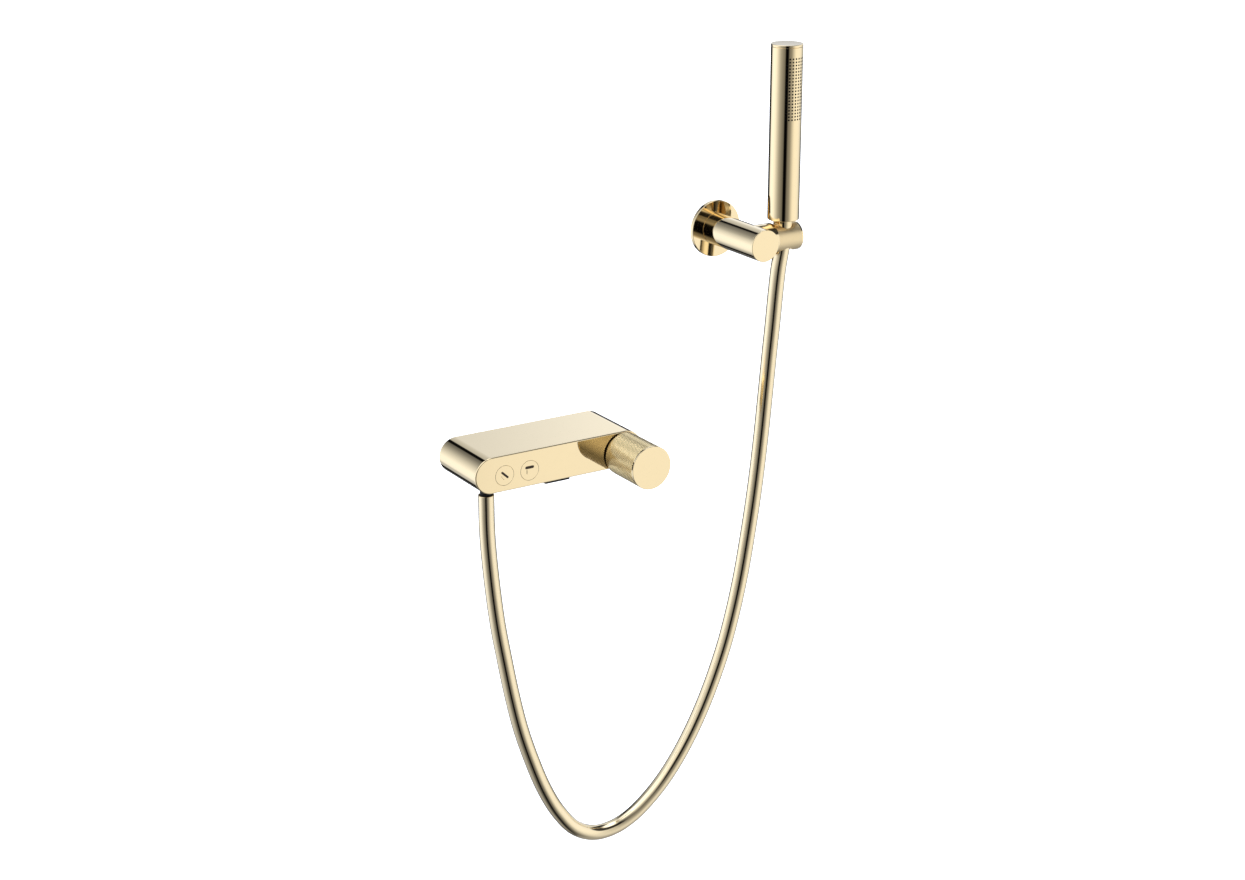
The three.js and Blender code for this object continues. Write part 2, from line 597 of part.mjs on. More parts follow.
function bracket() {
  const rosette = [
    [SPIGOT_R + GAP, -ROSETTE_THICK], [ROSETTE_R - 0.5, -ROSETTE_THICK], [ROSETTE_R, -ROSETTE_THICK + 0.5],
    [ROSETTE_R, 0], [22.3, 0], [22.3, -2.5], [SPIGOT_R + GAP, -2.5],
  ];
  piece('rosette', turned('y', rosette).translate(...BRACKET_AXIS), POLISHED_GOLD);
  const spigot = [
    [0, SPIGOT_END_Y], [SPIGOT_R, SPIGOT_END_Y], [SPIGOT_R, -2.2], [22, -2.2], [22, 0], [0, 0],
  ];
  const screwHoles = [-16, 16].map((z) => rod('y', 2.4, -4, 1, [BRACKET_X, 0, BRACKET_Z + z]));
  piece('mounting_spigot', cut(turned('y', spigot).translate(...BRACKET_AXIS), ...screwHoles), STEEL);

  const armFront = ARM_END_Y + ARM_CAP_THICK;
  const armBack = -ROSETTE_THICK - GAP;
  const arm = cut(
    join(
      rod('y', ARM_R, armFront + GAP, armBack, BRACKET_AXIS),
      rod('x', ARM_R - 0.02, BRACKET_X, STUB_END_X, TILT_AXIS),
    ),
    rod('y', SPIGOT_R + GAP, SPIGOT_END_Y - 2, 0, BRACKET_AXIS),
    rod('y', ARM_PLUG_R + GAP, armFront - 1, -40, BRACKET_AXIS),
    rod('x', PIVOT_R + GAP, PIVOT_START_X - 7.5, STUB_END_X + 1, TILT_AXIS),
    rod('z', SMALL_SCREW_R + GAP, BRACKET_Z - ARM_R - 1, BRACKET_Z - 9, [BRACKET_X, ARM_SCREW_Y, 0]),
    rod('z', SMALL_SCREW_R + GAP, BRACKET_Z - ARM_R - 1, BRACKET_Z - 7, [PIVOT_SCREW_X, HOLDER_Y, 0]),
  );
  piece('arm_body', arm, SATIN_GOLD);
  const cap = [
    [0, ARM_END_Y], [ARM_R - 0.4, ARM_END_Y], [ARM_R, ARM_END_Y + 0.4], [ARM_R, armFront],
    [ARM_PLUG_R, armFront], [ARM_PLUG_R, armFront + 6], [0, armFront + 6],
  ];
  piece('arm_end_cap', turned('y', cap).translate(...BRACKET_AXIS), POLISHED_GOLD);

  const grub = (name, x, y, top) => {
    const bottom = BRACKET_Z - ARM_R + 0.6;
    const screw = rod('z', SMALL_SCREW_R, bottom, top, [x, y, 0]);
    piece(name, cut(screw, rod('z', 1, bottom - 1, bottom + 2, [x, y, 0])), STEEL);
  };
  grub('arm_grub_screw', BRACKET_X, ARM_SCREW_Y, BRACKET_Z - SPIGOT_R - GAP);
  grub('pivot_grub_screw', PIVOT_SCREW_X, HOLDER_Y, BRACKET_Z - 7.2);
  const washer = ring('x', PIVOT_R + GAP, 14, STUB_END_X + 0.1, STUB_END_X + 1, TILT_AXIS);
  piece('friction_washer', washer, BLACK_PLASTIC);
}

function holder() {
  const capStart = HOLDER_END_X - 2.2;
  const [grooveStart, grooveEnd, grooveR] = [PIVOT_START_X + 1.5, PIVOT_START_X + 5.9, PIVOT_R - 1.1];
  const blank = [
    [0, PIVOT_START_X], [PIVOT_R, PIVOT_START_X], [PIVOT_R, grooveStart], [grooveR, grooveStart],
    [grooveR, grooveEnd], [PIVOT_R, grooveEnd], [PIVOT_R, HOLDER_START_X],
    [HOLDER_R, HOLDER_START_X], [HOLDER_R, capStart - GAP], [0, capStart - GAP],
  ];
  const socketBottom = BRACKET_Z - HOLDER_R - 7;
  const socket = [
    [0, socketBottom], [11.3, socketBottom], [11.3, NUT_BOTTOM_Z - 0.6], [NUT_BOTTOM_R + 0.35, NUT_BOTTOM_Z],
    [NUT_TOP_R + 0.4, HANDSET_BOTTOM_Z], [0, HANDSET_BOTTOM_Z],
  ];
  const slot = block(
    HANDSET_X - SLOT_WIDTH / 2, HANDSET_X + SLOT_WIDTH / 2, HOLDER_Y, HOLDER_Y + 20,
    BRACKET_Z - 20, BRACKET_Z + 20,
  );
  const body = cut(
    turned('x', blank).translate(...TILT_AXIS),
    turned('z', socket).translate(...HANDSET_AXIS),
    slot,
  );
  piece('holder_body', body, SATIN_GOLD);
  const cap = [
    [0, capStart], [HOLDER_R, capStart], [HOLDER_R, HOLDER_END_X - 0.6], [HOLDER_R - 0.6, HOLDER_END_X],
    [0, HOLDER_END_X],
  ];
  piece('holder_end_cap', turned('x', cap).translate(...TILT_AXIS), POLISHED_GOLD);
}

mixerCasing();
waterWays();
pushButton('shower', SHOWER_AXIS);
pushButton('spout', SPOUT_AXIS);
cartridge();
knob();
hose();
handset();
bracket();
holder();

export default group;
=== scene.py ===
"""Looks of the wall-mounted bath and shower mixer set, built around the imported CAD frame.

Metres. X runs right along the wall, Y into the wall and Z up. The finished wall is the plane Y = 0.
Each visible CAD node, and each spring, is replaced by a finer mesh of the same size; the other
nodes inside keep their CAD mesh and get a procedural material.
"""

import json
import math
from collections import namedtuple

import bmesh
import bpy
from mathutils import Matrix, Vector


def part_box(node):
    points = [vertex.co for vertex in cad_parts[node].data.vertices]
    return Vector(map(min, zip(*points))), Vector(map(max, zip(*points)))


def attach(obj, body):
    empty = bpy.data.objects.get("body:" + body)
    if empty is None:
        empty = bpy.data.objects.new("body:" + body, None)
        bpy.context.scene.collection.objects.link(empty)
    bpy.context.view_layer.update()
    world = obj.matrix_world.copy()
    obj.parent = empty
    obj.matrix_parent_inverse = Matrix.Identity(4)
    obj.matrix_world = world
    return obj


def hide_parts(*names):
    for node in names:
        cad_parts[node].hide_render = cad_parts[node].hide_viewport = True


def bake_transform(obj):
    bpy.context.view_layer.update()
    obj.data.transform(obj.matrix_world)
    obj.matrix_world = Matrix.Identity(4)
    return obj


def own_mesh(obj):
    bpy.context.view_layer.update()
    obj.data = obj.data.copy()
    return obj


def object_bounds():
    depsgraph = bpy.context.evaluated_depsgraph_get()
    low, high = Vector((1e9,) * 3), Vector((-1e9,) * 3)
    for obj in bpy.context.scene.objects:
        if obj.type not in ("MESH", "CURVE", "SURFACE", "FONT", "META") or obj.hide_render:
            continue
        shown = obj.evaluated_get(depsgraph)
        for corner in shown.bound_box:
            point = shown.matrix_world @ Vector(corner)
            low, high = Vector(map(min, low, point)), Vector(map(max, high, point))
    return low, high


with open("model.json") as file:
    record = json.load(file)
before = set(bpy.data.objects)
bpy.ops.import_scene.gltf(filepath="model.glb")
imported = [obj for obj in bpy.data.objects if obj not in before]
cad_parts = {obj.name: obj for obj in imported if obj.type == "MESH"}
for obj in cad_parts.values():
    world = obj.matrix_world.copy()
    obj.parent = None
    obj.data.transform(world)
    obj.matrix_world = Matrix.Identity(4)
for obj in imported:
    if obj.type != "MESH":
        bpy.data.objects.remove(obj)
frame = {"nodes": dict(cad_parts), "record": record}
cad_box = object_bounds()

MM = 0.001

# ---------------------------------------------------------------- camera
CAMERA_PLACE = (-1.0608, -1.8867, 0.7546)
CAMERA_YAW = 32.04  # degrees from +Y towards +X
CAMERA_PITCH = 19.22  # degrees down
CAMERA_LENS = 65.22  # on a sensor 36 mm wide

# ---------------------------------------------------------------- hose
HOSE_ROUTE = [
    (-0.0678, -0.0460, -0.0505),
    (-0.0678, -0.0460, -0.0550),
    (-0.0673, -0.0461, -0.0750),
    (-0.0657, -0.0462, -0.1000),
    (-0.0622, -0.0465, -0.1380),
    (-0.0576, -0.0468, -0.1750),
    (-0.0512, -0.0473, -0.2130),
    (-0.0436, -0.0478, -0.2540),
    (-0.0345, -0.0484, -0.2940),
    (-0.0225, -0.0492, -0.3330),
    (-0.0086, -0.0502, -0.3700),
    (0.0075, -0.0513, -0.4010),
    (0.0275, -0.0527, -0.4260),
    (0.0500, -0.0543, -0.4375),
    (0.0740, -0.0559, -0.4370),
    (0.0960, -0.0574, -0.4280),
    (0.1160, -0.0588, -0.4130),
    (0.1340, -0.0600, -0.3950),
    (0.1520, -0.0612, -0.3715),
    (0.1685, -0.0624, -0.3445),
    (0.1840, -0.0635, -0.3135),
    (0.1975, -0.0644, -0.2810),
    (0.2090, -0.0652, -0.2480),
    (0.2190, -0.0659, -0.2110),
    (0.2275, -0.0665, -0.1720),
    (0.2344, -0.0669, -0.1320),
    (0.2404, -0.0674, -0.0920),
    (0.2452, -0.0677, -0.0540),
    (0.2494, -0.0680, -0.0140),
    (0.2530, -0.0683, 0.0260),
    (0.2566, -0.0685, 0.0660),
    (0.2598, -0.0688, 0.1000),
    (0.2629, -0.0690, 0.1360),
    (0.2655, -0.0692, 0.1600),
    (0.2680, -0.0693, 0.1740),
    (0.2697, -0.0694, 0.1835),
    (0.2697, -0.0694, 0.1873),
]
HOSE_JOINT = 30  # the route point at which the lower stretch of hose meets the upper one
HOSE_R = 8.1 * MM
HOSE_STEPS = 12  # rings of the tube between two route points
HOSE_SIDES = 48
FERRULE_BORE_R = 6.5 * MM
NUT_BOTTOM_R = 9.0 * MM
NUT_HOLE_R = 5 * MM
NUT_BORE_R = 8.3 * MM
NUT_FLOOR = 4 * MM

# ---------------------------------------------------------------- studio light
# Angles are azimuths in degrees from +Y towards +X, and elevations in degrees above the horizon.
LIGHT_BY_AZIMUTH = [
    (-180, 0.32), (-164, 0.20), (-132, 0.16), (-118, 0.26), (-102, 0.42), (-86, 0.72), (-68, 1.10),
    (-47, 1.25), (-25, 1.15), (-12, 0.72), (-7, 0.50), (6, 0.50), (20, 0.66), (27.5, 0.80), (32, 1.06),
    (37, 1.15), (60, 0.85), (84, 0.80), (111, 1.05), (132, 1.08), (150, 1.02), (166, 0.66), (180, 0.32),
]
# Share of that light by elevation, on the left behind the set and in the rest of the room.
SHARE_LEFT = [
    (-90, 0.20), (-50, 0.35), (-36, 0.66), (-27, 0.93), (-16, 1.00), (-6, 0.97), (5, 0.77), (15, 0.58),
    (23, 0.39), (31, 0.26), (44, 0.30), (56, 1.00), (90, 1.20),
]
SHARE_ELSEWHERE = [
    (-90, 0.30), (-57, 0.42), (-42, 0.70), (-26, 0.95), (-8, 1.00), (9, 1.00), (24, 0.95), (56, 1.00),
    (68, 2.00), (90, 2.00),
]
LEFT_BY_AZIMUTH = [(-85, 0.0), (-60, 1.0), (-4, 1.0), (0, 0.0)]
# A large soft light over the left, added to the light above.
TOP_LIGHT = (
    [(-160, 0.00), (-140, 0.50), (-120, 1.00), (-70, 0.90), (-55, 0.80), (-32, 0.00)],
    [(-12, 0.00), (8, 0.30), (40, 1.00), (90, 1.20)],
)
# Black flags: how much of the light each one takes, by azimuth and by elevation.
FLAGS = {
    "straight behind": ([(-7, 0.0), (-5, 0.99), (6, 0.99), (8, 0.0)], [(0, 1.0), (44, 1.0), (52, 0.0)]),
    "behind the camera": ([(-164, 0.0), (-155, 0.99), (-138, 0.99), (-132, 0.0)], [(16, 1.0), (24, 0.0)]),
    "low on the left": (
        [(-22, 0.0), (-15, 0.9), (1, 0.9), (3, 0.0)],
        [(-31, 0.0), (-26, 1.0), (-4, 1.0), (4, 0.0)],
    ),
    "low on the right": (
        [(-1, 0.0), (2, 0.95), (42, 0.95), (52, 0.0)],
        [(-56, 0.0), (-36, 0.8), (-15, 1.0), (6, 1.0), (11, 0.1), (14, 0.0)],
    ),
    "lower on the right": (
        [(42, 0.0), (52, 0.95), (66, 0.95), (92, 0.0)],
        [(-56, 0.0), (-36, 0.8), (-12, 1.0), (-6, 0.0)],
    ),
    "high on the right": (
        [(-180, 0.96), (-172, 0.96), (-166, 0.0), (30, 0.0), (37, 0.96), (180, 0.96)],
        [(28, 0.0), (34, 1.0), (58, 1.0), (68, 0.0)],
    ),
}
FRONT_TINT = (1.02, 1.04, 1.06)
BACK_TINT = (0.97, 1.06, 1.24)
FLOOR_SIZE = 24.0
FLOOR_DROP = 0.06  # floor below the lowest point of the hose
FLOOR_TONE = 0.9
FLOOR_GLOW = 0.9

# ---------------------------------------------------------------- finishes
# name: (colour, metallic, roughness, change of roughness, change of tone, grain size, relief, specular)
GOLD = (0.94, 0.755, 0.455)
FINISHES = {
    "polished_gold": (GOLD, 1.0, 0.035, 0.020, 0.015, 6.0 * MM, 0.0, 0.5),
    "satin_gold": ((0.93, 0.755, 0.465), 1.0, 0.07, 0.030, 0.040, 0.5 * MM, 0.003 * MM, 0.5),
    "brushed_gold": ((0.96, 0.76, 0.45), 1.0, 0.42, 0.050, 0.050, 0.5 * MM, 0.006 * MM, 0.5),
    "knurled_gold": ((0.91, 0.715, 0.375), 1.0, 0.20, 0.040, 0.040, 0.8 * MM, 0.0, 0.5),
    "hose_gold": ((0.93, 0.77, 0.50), 1.0, 0.12, 0.040, 0.050, 0.6 * MM, 0.006 * MM, 0.5),
    "cast_brass": ((0.45, 0.30, 0.10), 1.0, 0.38, 0.120, 0.180, 1.2 * MM, 0.050 * MM, 0.5),
    "steel": ((0.66, 0.67, 0.68), 1.0, 0.44, 0.100, 0.080, 1.5 * MM, 0.010 * MM, 0.5),
    "black_plastic": ((0.006, 0.006, 0.006), 0.0, 0.45, 0.080, 0.200, 0.4 * MM, 0.010 * MM, 0.12),
    "white_plastic": ((0.76, 0.75, 0.70), 0.0, 0.42, 0.060, 0.040, 2.0 * MM, 0.008 * MM, 0.5),
    "black_rubber": ((0.020, 0.020, 0.020), 0.0, 0.75, 0.080, 0.200, 0.3 * MM, 0.015 * MM, 0.3),
    "ink": ((0.035, 0.022, 0.010), 0.0, 0.60, 0.100, 0.150, 0.4 * MM, 0.0, 0.3),
}
FINISH_OF = {"holder_body": "brushed_gold"}  # where the finish differs from the CAD slot's usual one
PATCH_SCALE = 22.0  # slow patches of tone, per metre
PATCH_SHARE = 0.35  # how much the patches count beside the fine grain
RELIEF_STRENGTH = 0.6

# ---------------------------------------------------------------- sizes shared by several pieces
X_AXIS = Vector((1, 0, 0))
Y_AXIS = Vector((0, 1, 0))
Z_AXIS = Vector((0, 0, 1))
AXES = {  # axis of a turned piece: (across, up, along)
    "x": (Y_AXIS, Z_AXIS, X_AXIS),
    "y": (X_AXIS, Z_AXIS, Y_AXIS),
    "z": (X_AXIS, Y_AXIS, Z_AXIS),
}
GAP = 0.3 * MM
SEAM = 0.03 * MM  # hairline left where two gold pieces meet
SHARP = math.radians(34)
FILLET_STEPS = 5
FACE_WEIGHT = 90  # how far a large face decides the normals at its edges
ROUND_TOLERANCE = 0.02 * MM  # how near a cylinder a corner lies to count as on it
OVERCUT = 1 * MM  # how far a cutting solid reaches past the face that it cuts
CASING_SEGMENTS = 192
LARGE_SEGMENTS = 160  # round pieces that show large
SMALL_SEGMENTS = 64

Box = namedtuple("Box", "low high centre half")


def box_of(node):
    """The box of a CAD node: its two far corners, its middle and half its size."""
    low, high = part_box(node)
    return Box(low, high, (low + high) / 2, (high - low) / 2)


# ---------------------------------------------------------------- mesh helpers
def rounded(profile):
    """The closed profile of (radius, height) points, with an arc at each point that has a fillet."""
    points = []
    for i, (radius, height, *fillet) in enumerate(profile):
        corner = Vector((radius, height))
        if not fillet:
            points.append(corner)
            continue
        before = (Vector(profile[i - 1][:2]) - corner).normalized()
        after = (Vector(profile[(i + 1) % len(profile)][:2]) - corner).normalized()
        half = before.angle(after) / 2
        reach = fillet[0] / math.tan(half)
        middle = corner + (before + after).normalized() * fillet[0] / math.sin(half)
        start = (corner + before * reach - middle).normalized()
        end = (corner + after * reach - middle).normalized()
        for step in range(FILLET_STEPS + 1):
            points.append(middle + start.slerp(end, step / FILLET_STEPS) * fillet[0])
    return points


def new_object(name, bm):
    bmesh.ops.recalc_face_normals(bm, faces=bm.faces)
    mesh = bpy.data.meshes.new(name)
    bm.to_mesh(mesh)
    bm.free()
    obj = bpy.data.objects.new(name, mesh)
    bpy.context.scene.collection.objects.link(obj)
    return obj


def swept(name, axis, centre, profile, spread=(0.0, 0.0), segments=96):
    """A closed mesh. The closed profile of (radius, height, fillet) points goes once round the spread
    rectangle: round for no spread, a stadium for a spread to the sides, else a rounded rectangle."""
    across, up, along = AXES[axis]
    bm = bmesh.new()
    rows = []
    for radius, height in rounded(profile):
        row = []
        for quarter, (side, top) in enumerate([(1, 1), (-1, 1), (-1, -1), (1, -1)]):
            for step in range(segments // 4 + 1):
                angle = (quarter + step / (segments // 4)) * math.pi / 2
                sideways = side * spread[0] + radius * math.cos(angle)
                upwards = top * spread[1] + radius * math.sin(angle)
                point = Vector(centre) + across * sideways + up * upwards + along * height
                row.append(bm.verts.new(point))
        rows.append((radius, row))
    for (radius, row), (next_radius, next_row) in zip(rows, rows[1:] + rows[:1]):
        if radius < 1e-9 and next_radius < 1e-9:
            continue
        for i in range(len(row)):
            j = (i + 1) % len(row)
            bm.faces.new((row[i], row[j], next_row[j], next_row[i]))
    bmesh.ops.remove_doubles(bm, verts=bm.verts, dist=1e-7)
    return new_object(name, bm)


def plug(axis, radius, start, end, centre, spread=(0.0, 0.0), segments=48):
    """A plain solid that cuts a hole and is then thrown away."""
    profile = [(0, start), (radius, start), (radius, end), (0, end)]
    return swept("cutter", axis, centre, profile, spread, segments)


def hexagon(axis, across_flats, start, end, centre):
    """A six-sided solid that cuts the socket of a screw."""
    across, up, along = AXES[axis]
    corner = across_flats / math.sqrt(3)
    bm = bmesh.new()
    ends = []
    for height in (start, end):
        ring = []
        for k in range(6):
            angle = k * math.pi / 3
            sideways = across * corner * math.cos(angle) + up * corner * math.sin(angle)
            ring.append(bm.verts.new(Vector(centre) + sideways + along * height))
        ends.append(ring)
        bm.faces.new(ring)
    for k in range(6):
        after = (k + 1) % 6
        bm.faces.new((ends[0][k], ends[0][after], ends[1][after], ends[1][k]))
    return new_object("cutter", bm)


def apply_modifiers(obj):
    evaluated = obj.evaluated_get(bpy.context.evaluated_depsgraph_get())
    mesh = bpy.data.meshes.new_from_object(evaluated)
    obj.modifiers.clear()
    obj.data = mesh


def boolean(obj, operation, tools):
    for tool in tools:
        modifier = obj.modifiers.new(operation.lower(), "BOOLEAN")
        modifier.operation = operation
        modifier.solver = "EXACT"
        modifier.object = tool
    apply_modifiers(obj)
    for tool in tools:
        bpy.data.objects.remove(tool)
    return obj


def cut(obj, *tools):
    return boolean(obj, "DIFFERENCE", tools)


def join(obj, *others):
    return boolean(obj, "UNION", others)


def shade(obj):
    """Smooth shading with crisp edges, where each large face keeps its own true normal."""
    obj.data.shade_smooth()
    obj.data.set_sharp_from_angle(angle=SHARP)
    modifier = obj.modifiers.new("weighted normals", "WEIGHTED_NORMAL")
    modifier.keep_sharp = True
    modifier.weight = FACE_WEIGHT
    apply_modifiers(obj)


def true_round(obj, axis, centre, radius):
    """Gives the corners that lie on a cylinder its exact normal, where holes have cut its faces up."""
    along = AXES[axis][2]
    mesh = obj.data
    normals = [Vector(normal.vector) for normal in mesh.corner_normals]
    for polygon in mesh.polygons:
        for corner in polygon.loop_indices:
            offset = mesh.vertices[mesh.loops[corner].vertex_index].co - Vector(centre)
            radial = offset - along * offset.dot(along)
            if abs(radial.length - radius) > ROUND_TOLERANCE:
                continue
            outward = radial.normalized()
            if polygon.normal.dot(outward) > 0.99:
                normals[corner] = outward
    mesh.normals_split_custom_set(normals)


# ---------------------------------------------------------------- materials
def add_node(tree, kind, **inputs):
    node = tree.nodes.new(kind)
    for name, value in inputs.items():
        node.inputs[name.replace("_", " ")].default_value = value
    return node


def ramp(tree, source, low, high):
    """A Map Range node from 0..1 to low..high, and its result."""
    node = tree.nodes.new("ShaderNodeMapRange")
    node.inputs["To Min"].default_value = low
    node.inputs["To Max"].default_value = high
    tree.links.new(source, node.inputs["Value"])
    return node.outputs["Result"]


def surface(name, colour, metallic, roughness, roughness_change, tone_change, grain, relief, specular):
    """A procedural finish. A fine grain and slow patches vary its tone and roughness, and the grain
    gives it relief."""
    material = bpy.data.materials.new(name)
    material.use_nodes = True
    tree = material.node_tree
    shader = tree.nodes["Principled BSDF"]
    shader.inputs["Metallic"].default_value = metallic
    shader.inputs["Specular IOR Level"].default_value = specular
    place = tree.nodes.new("ShaderNodeTexCoord")
    fine = add_node(tree, "ShaderNodeTexNoise", Scale=1 / grain, Detail=3.0, Roughness=0.6)
    slow = add_node(tree, "ShaderNodeTexNoise", Scale=PATCH_SCALE, Detail=2.0, Roughness=0.5)
    for noise in (fine, slow):
        tree.links.new(place.outputs["Object"], noise.inputs["Vector"])

    blend = tree.nodes.new("ShaderNodeMix")
    blend.data_type = "FLOAT"
    blend.inputs["Factor"].default_value = PATCH_SHARE
    tree.links.new(fine.outputs["Fac"], blend.inputs["A"])
    tree.links.new(slow.outputs["Fac"], blend.inputs["B"])
    pattern = blend.outputs["Result"]

    tone = tree.nodes.new("ShaderNodeMix")
    tone.data_type = "RGBA"
    tone.inputs["A"].default_value = (*[c * (1 - tone_change) for c in colour], 1)
    tone.inputs["B"].default_value = (*[min(1.0, c * (1 + tone_change)) for c in colour], 1)
    tree.links.new(pattern, tone.inputs["Factor"])
    tree.links.new(tone.outputs["Result"], shader.inputs["Base Color"])
    low, high = roughness - roughness_change / 2, roughness + roughness_change / 2
    tree.links.new(ramp(tree, pattern, low, high), shader.inputs["Roughness"])
    if relief:
        bump = add_node(tree, "ShaderNodeBump", Strength=RELIEF_STRENGTH, Distance=relief)
        tree.links.new(fine.outputs["Fac"], bump.inputs["Height"])
        tree.links.new(bump.outputs["Normal"], shader.inputs["Normal"])
    return material


MATERIALS = {slot: surface(f"{slot}_finish", *values) for slot, values in FINISHES.items()}
BODY_OF = {node: body for body, nodes in frame["record"]["behaviour"]["bodies"].items() for node in nodes}
SLOT_OF = {node: obj.material_slots[0].material.name for node, obj in frame["nodes"].items()}


def stand_in(obj, node, rounds=()):
    """Names, shades, colours and places obj as the detailed piece that replaces a CAD node."""
    obj.name = f"{node}_fine"
    obj.data.name = obj.name
    shade(obj)
    for axis, centre, radius in rounds:
        true_round(obj, axis, centre, radius)
    dress(obj, node)
    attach(obj, BODY_OF[node])
    return obj


def dress(obj, node):
    slot = SLOT_OF[node]
    if not obj.data.materials:
        obj.data.materials.append(None)
    obj.data.materials[0] = MATERIALS[FINISH_OF.get(node, slot)]
    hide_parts(node)


# ---------------------------------------------------------------- camera and hose
def make_camera():
    data = bpy.data.cameras.new("camera")
    data.sensor_width = 36.0
    data.lens = CAMERA_LENS
    camera = bpy.data.objects.new("camera", data)
    camera.location = CAMERA_PLACE
    camera.rotation_euler = (math.radians(90 - CAMERA_PITCH), 0, -math.radians(CAMERA_YAW))
    bpy.context.scene.collection.objects.link(camera)
    bpy.context.scene.camera = camera


def smooth_path(points, steps):
    """A centripetal Catmull-Rom curve through the points, with that many steps between two."""
    points = [Vector(p) for p in points]
    ends = [2 * points[0] - points[1], *points, 2 * points[-1] - points[-2]]
    path = []
    for before, start, end, after in zip(ends, ends[1:], ends[2:], ends[3:]):
        g0, g1, g2 = (math.sqrt((b - a).length) for a, b in ((before, start), (start, end), (end, after)))
        leaving = ((start - before) / g0 - (end - before) / (g0 + g1) + (end - start) / g1) * g1
        arriving = ((end - start) / g1 - (after - start) / (g1 + g2) + (after - end) / g2) * g1
        for step in range(steps):
            t = step / steps
            path.append(
                (2 * t**3 - 3 * t**2 + 1) * start
                + (t**3 - 2 * t**2 + t) * leaving
                + (3 * t**2 - 2 * t**3) * end
                + (t**3 - t**2) * arriving
            )
    return [*path, points[-1]]


def tube(name, path, radius, sides):
    """A closed tube along a path, with its length and its turn as UV."""
    bm = bmesh.new()
    uv = bm.loops.layers.uv.new("UVMap")
    tangents = [(after - before).normalized() for before, after in zip(path[:1] + path, path[1:] + path[-1:])]
    side = Y_AXIS
    rings = []
    lengths = [0.0]
    for point, after in zip(path, path[1:]):
        lengths.append(lengths[-1] + (after - point).length)
    for point, tangent in zip(path, tangents):
        side = (side - tangent * side.dot(tangent)).normalized()
        up = tangent.cross(side)
        turn = [2 * math.pi * k / sides for k in range(sides)]
        rings.append([bm.verts.new(point + radius * (side * math.cos(a) + up * math.sin(a))) for a in turn])
    for i in range(len(rings) - 1):
        for k in range(sides):
            after = (k + 1) % sides
            face = bm.faces.new((rings[i][k], rings[i][after], rings[i + 1][after], rings[i + 1][k]))
            corners = [(i, k), (i, k + 1), (i + 1, k + 1), (i + 1, k)]
            for loop, (along, around) in zip(face.loops, corners):
                loop[uv].uv = (lengths[along], around / sides)
    bm.faces.new(rings[0])
    bm.faces.new(rings[-1])
    return new_object(name, bm)


def make_hose():
    """The hose in its two stretches, and the metal ends on it."""
    path = smooth_path(HOSE_ROUTE, HOSE_STEPS)
    meeting = HOSE_JOINT * HOSE_STEPS
    lower_path = path[: meeting + 1]
    upper_path = path[meeting:]
    lower = tube("shower_hose_lower_fine", lower_path, HOSE_R, HOSE_SIDES)
    upper = tube("shower_hose_upper_fine", upper_path, HOSE_R, HOSE_SIDES)
    for stretch, node in ((lower, "shower_hose_lower"), (upper, "shower_hose_upper")):
        stretch.data.shade_smooth()
        stretch.data.set_sharp_from_angle(angle=SHARP)
        dress(stretch, node)
    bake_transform(lower)
    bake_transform(upper)

    _, high, centre, _ = box_of("hose_ferrule")
    ferrule = swept(
        "ferrule", "z", (centre.x, centre.y, 0),
        [(FERRULE_BORE_R, high.z, 0.2 * MM), (HOSE_R, high.z, 0.5 * MM), (HOSE_R, path[0].z + SEAM),
         (FERRULE_BORE_R, path[0].z + SEAM)],
    )
    stand_in(ferrule, "hose_ferrule")

    low, high, centre, half = box_of("hose_cone_nut")
    floor = low.z + NUT_FLOOR
    nut = swept(
        "nut", "z", (centre.x, centre.y, 0),
        [(NUT_HOLE_R, low.z), (NUT_BOTTOM_R, low.z, 0.4 * MM), (half.x, high.z, 0.3 * MM),
         (NUT_BORE_R, high.z), (NUT_BORE_R, floor), (NUT_HOLE_R, floor)],
    )
    stand_in(nut, "hose_cone_nut")


# ---------------------------------------------------------------- studio
def curve_of(tree, value, points, low, high):
    """A ColorRamp that gives the brightness listed for each angle, as a number."""
    scaled = tree.nodes.new("ShaderNodeMapRange")
    scaled.inputs["From Min"].default_value = low
    scaled.inputs["From Max"].default_value = high
    tree.links.new(value, scaled.inputs["Value"])
    node = tree.nodes.new("ShaderNodeValToRGB")
    node.color_ramp.interpolation = "LINEAR"
    stops = node.color_ramp.elements
    for i, (angle, level) in enumerate(points):
        position = (angle - low) / (high - low)
        stop = stops[i] if i < 2 else stops.new(position)
        stop.position = position
        stop.color = (level, level, level, 1)
    tree.links.new(scaled.outputs["Result"], node.inputs["Fac"])
    return node.outputs["Color"]


def calculate(tree, operation, a, b=None, c=None):
    node = tree.nodes.new("ShaderNodeMath")
    node.operation = operation
    for socket, value in zip(node.inputs, (a, b, c)):
        if isinstance(value, (int, float)):
            socket.default_value = value
        elif value is not None:
            tree.links.new(value, socket)
    return node.outputs["Value"]


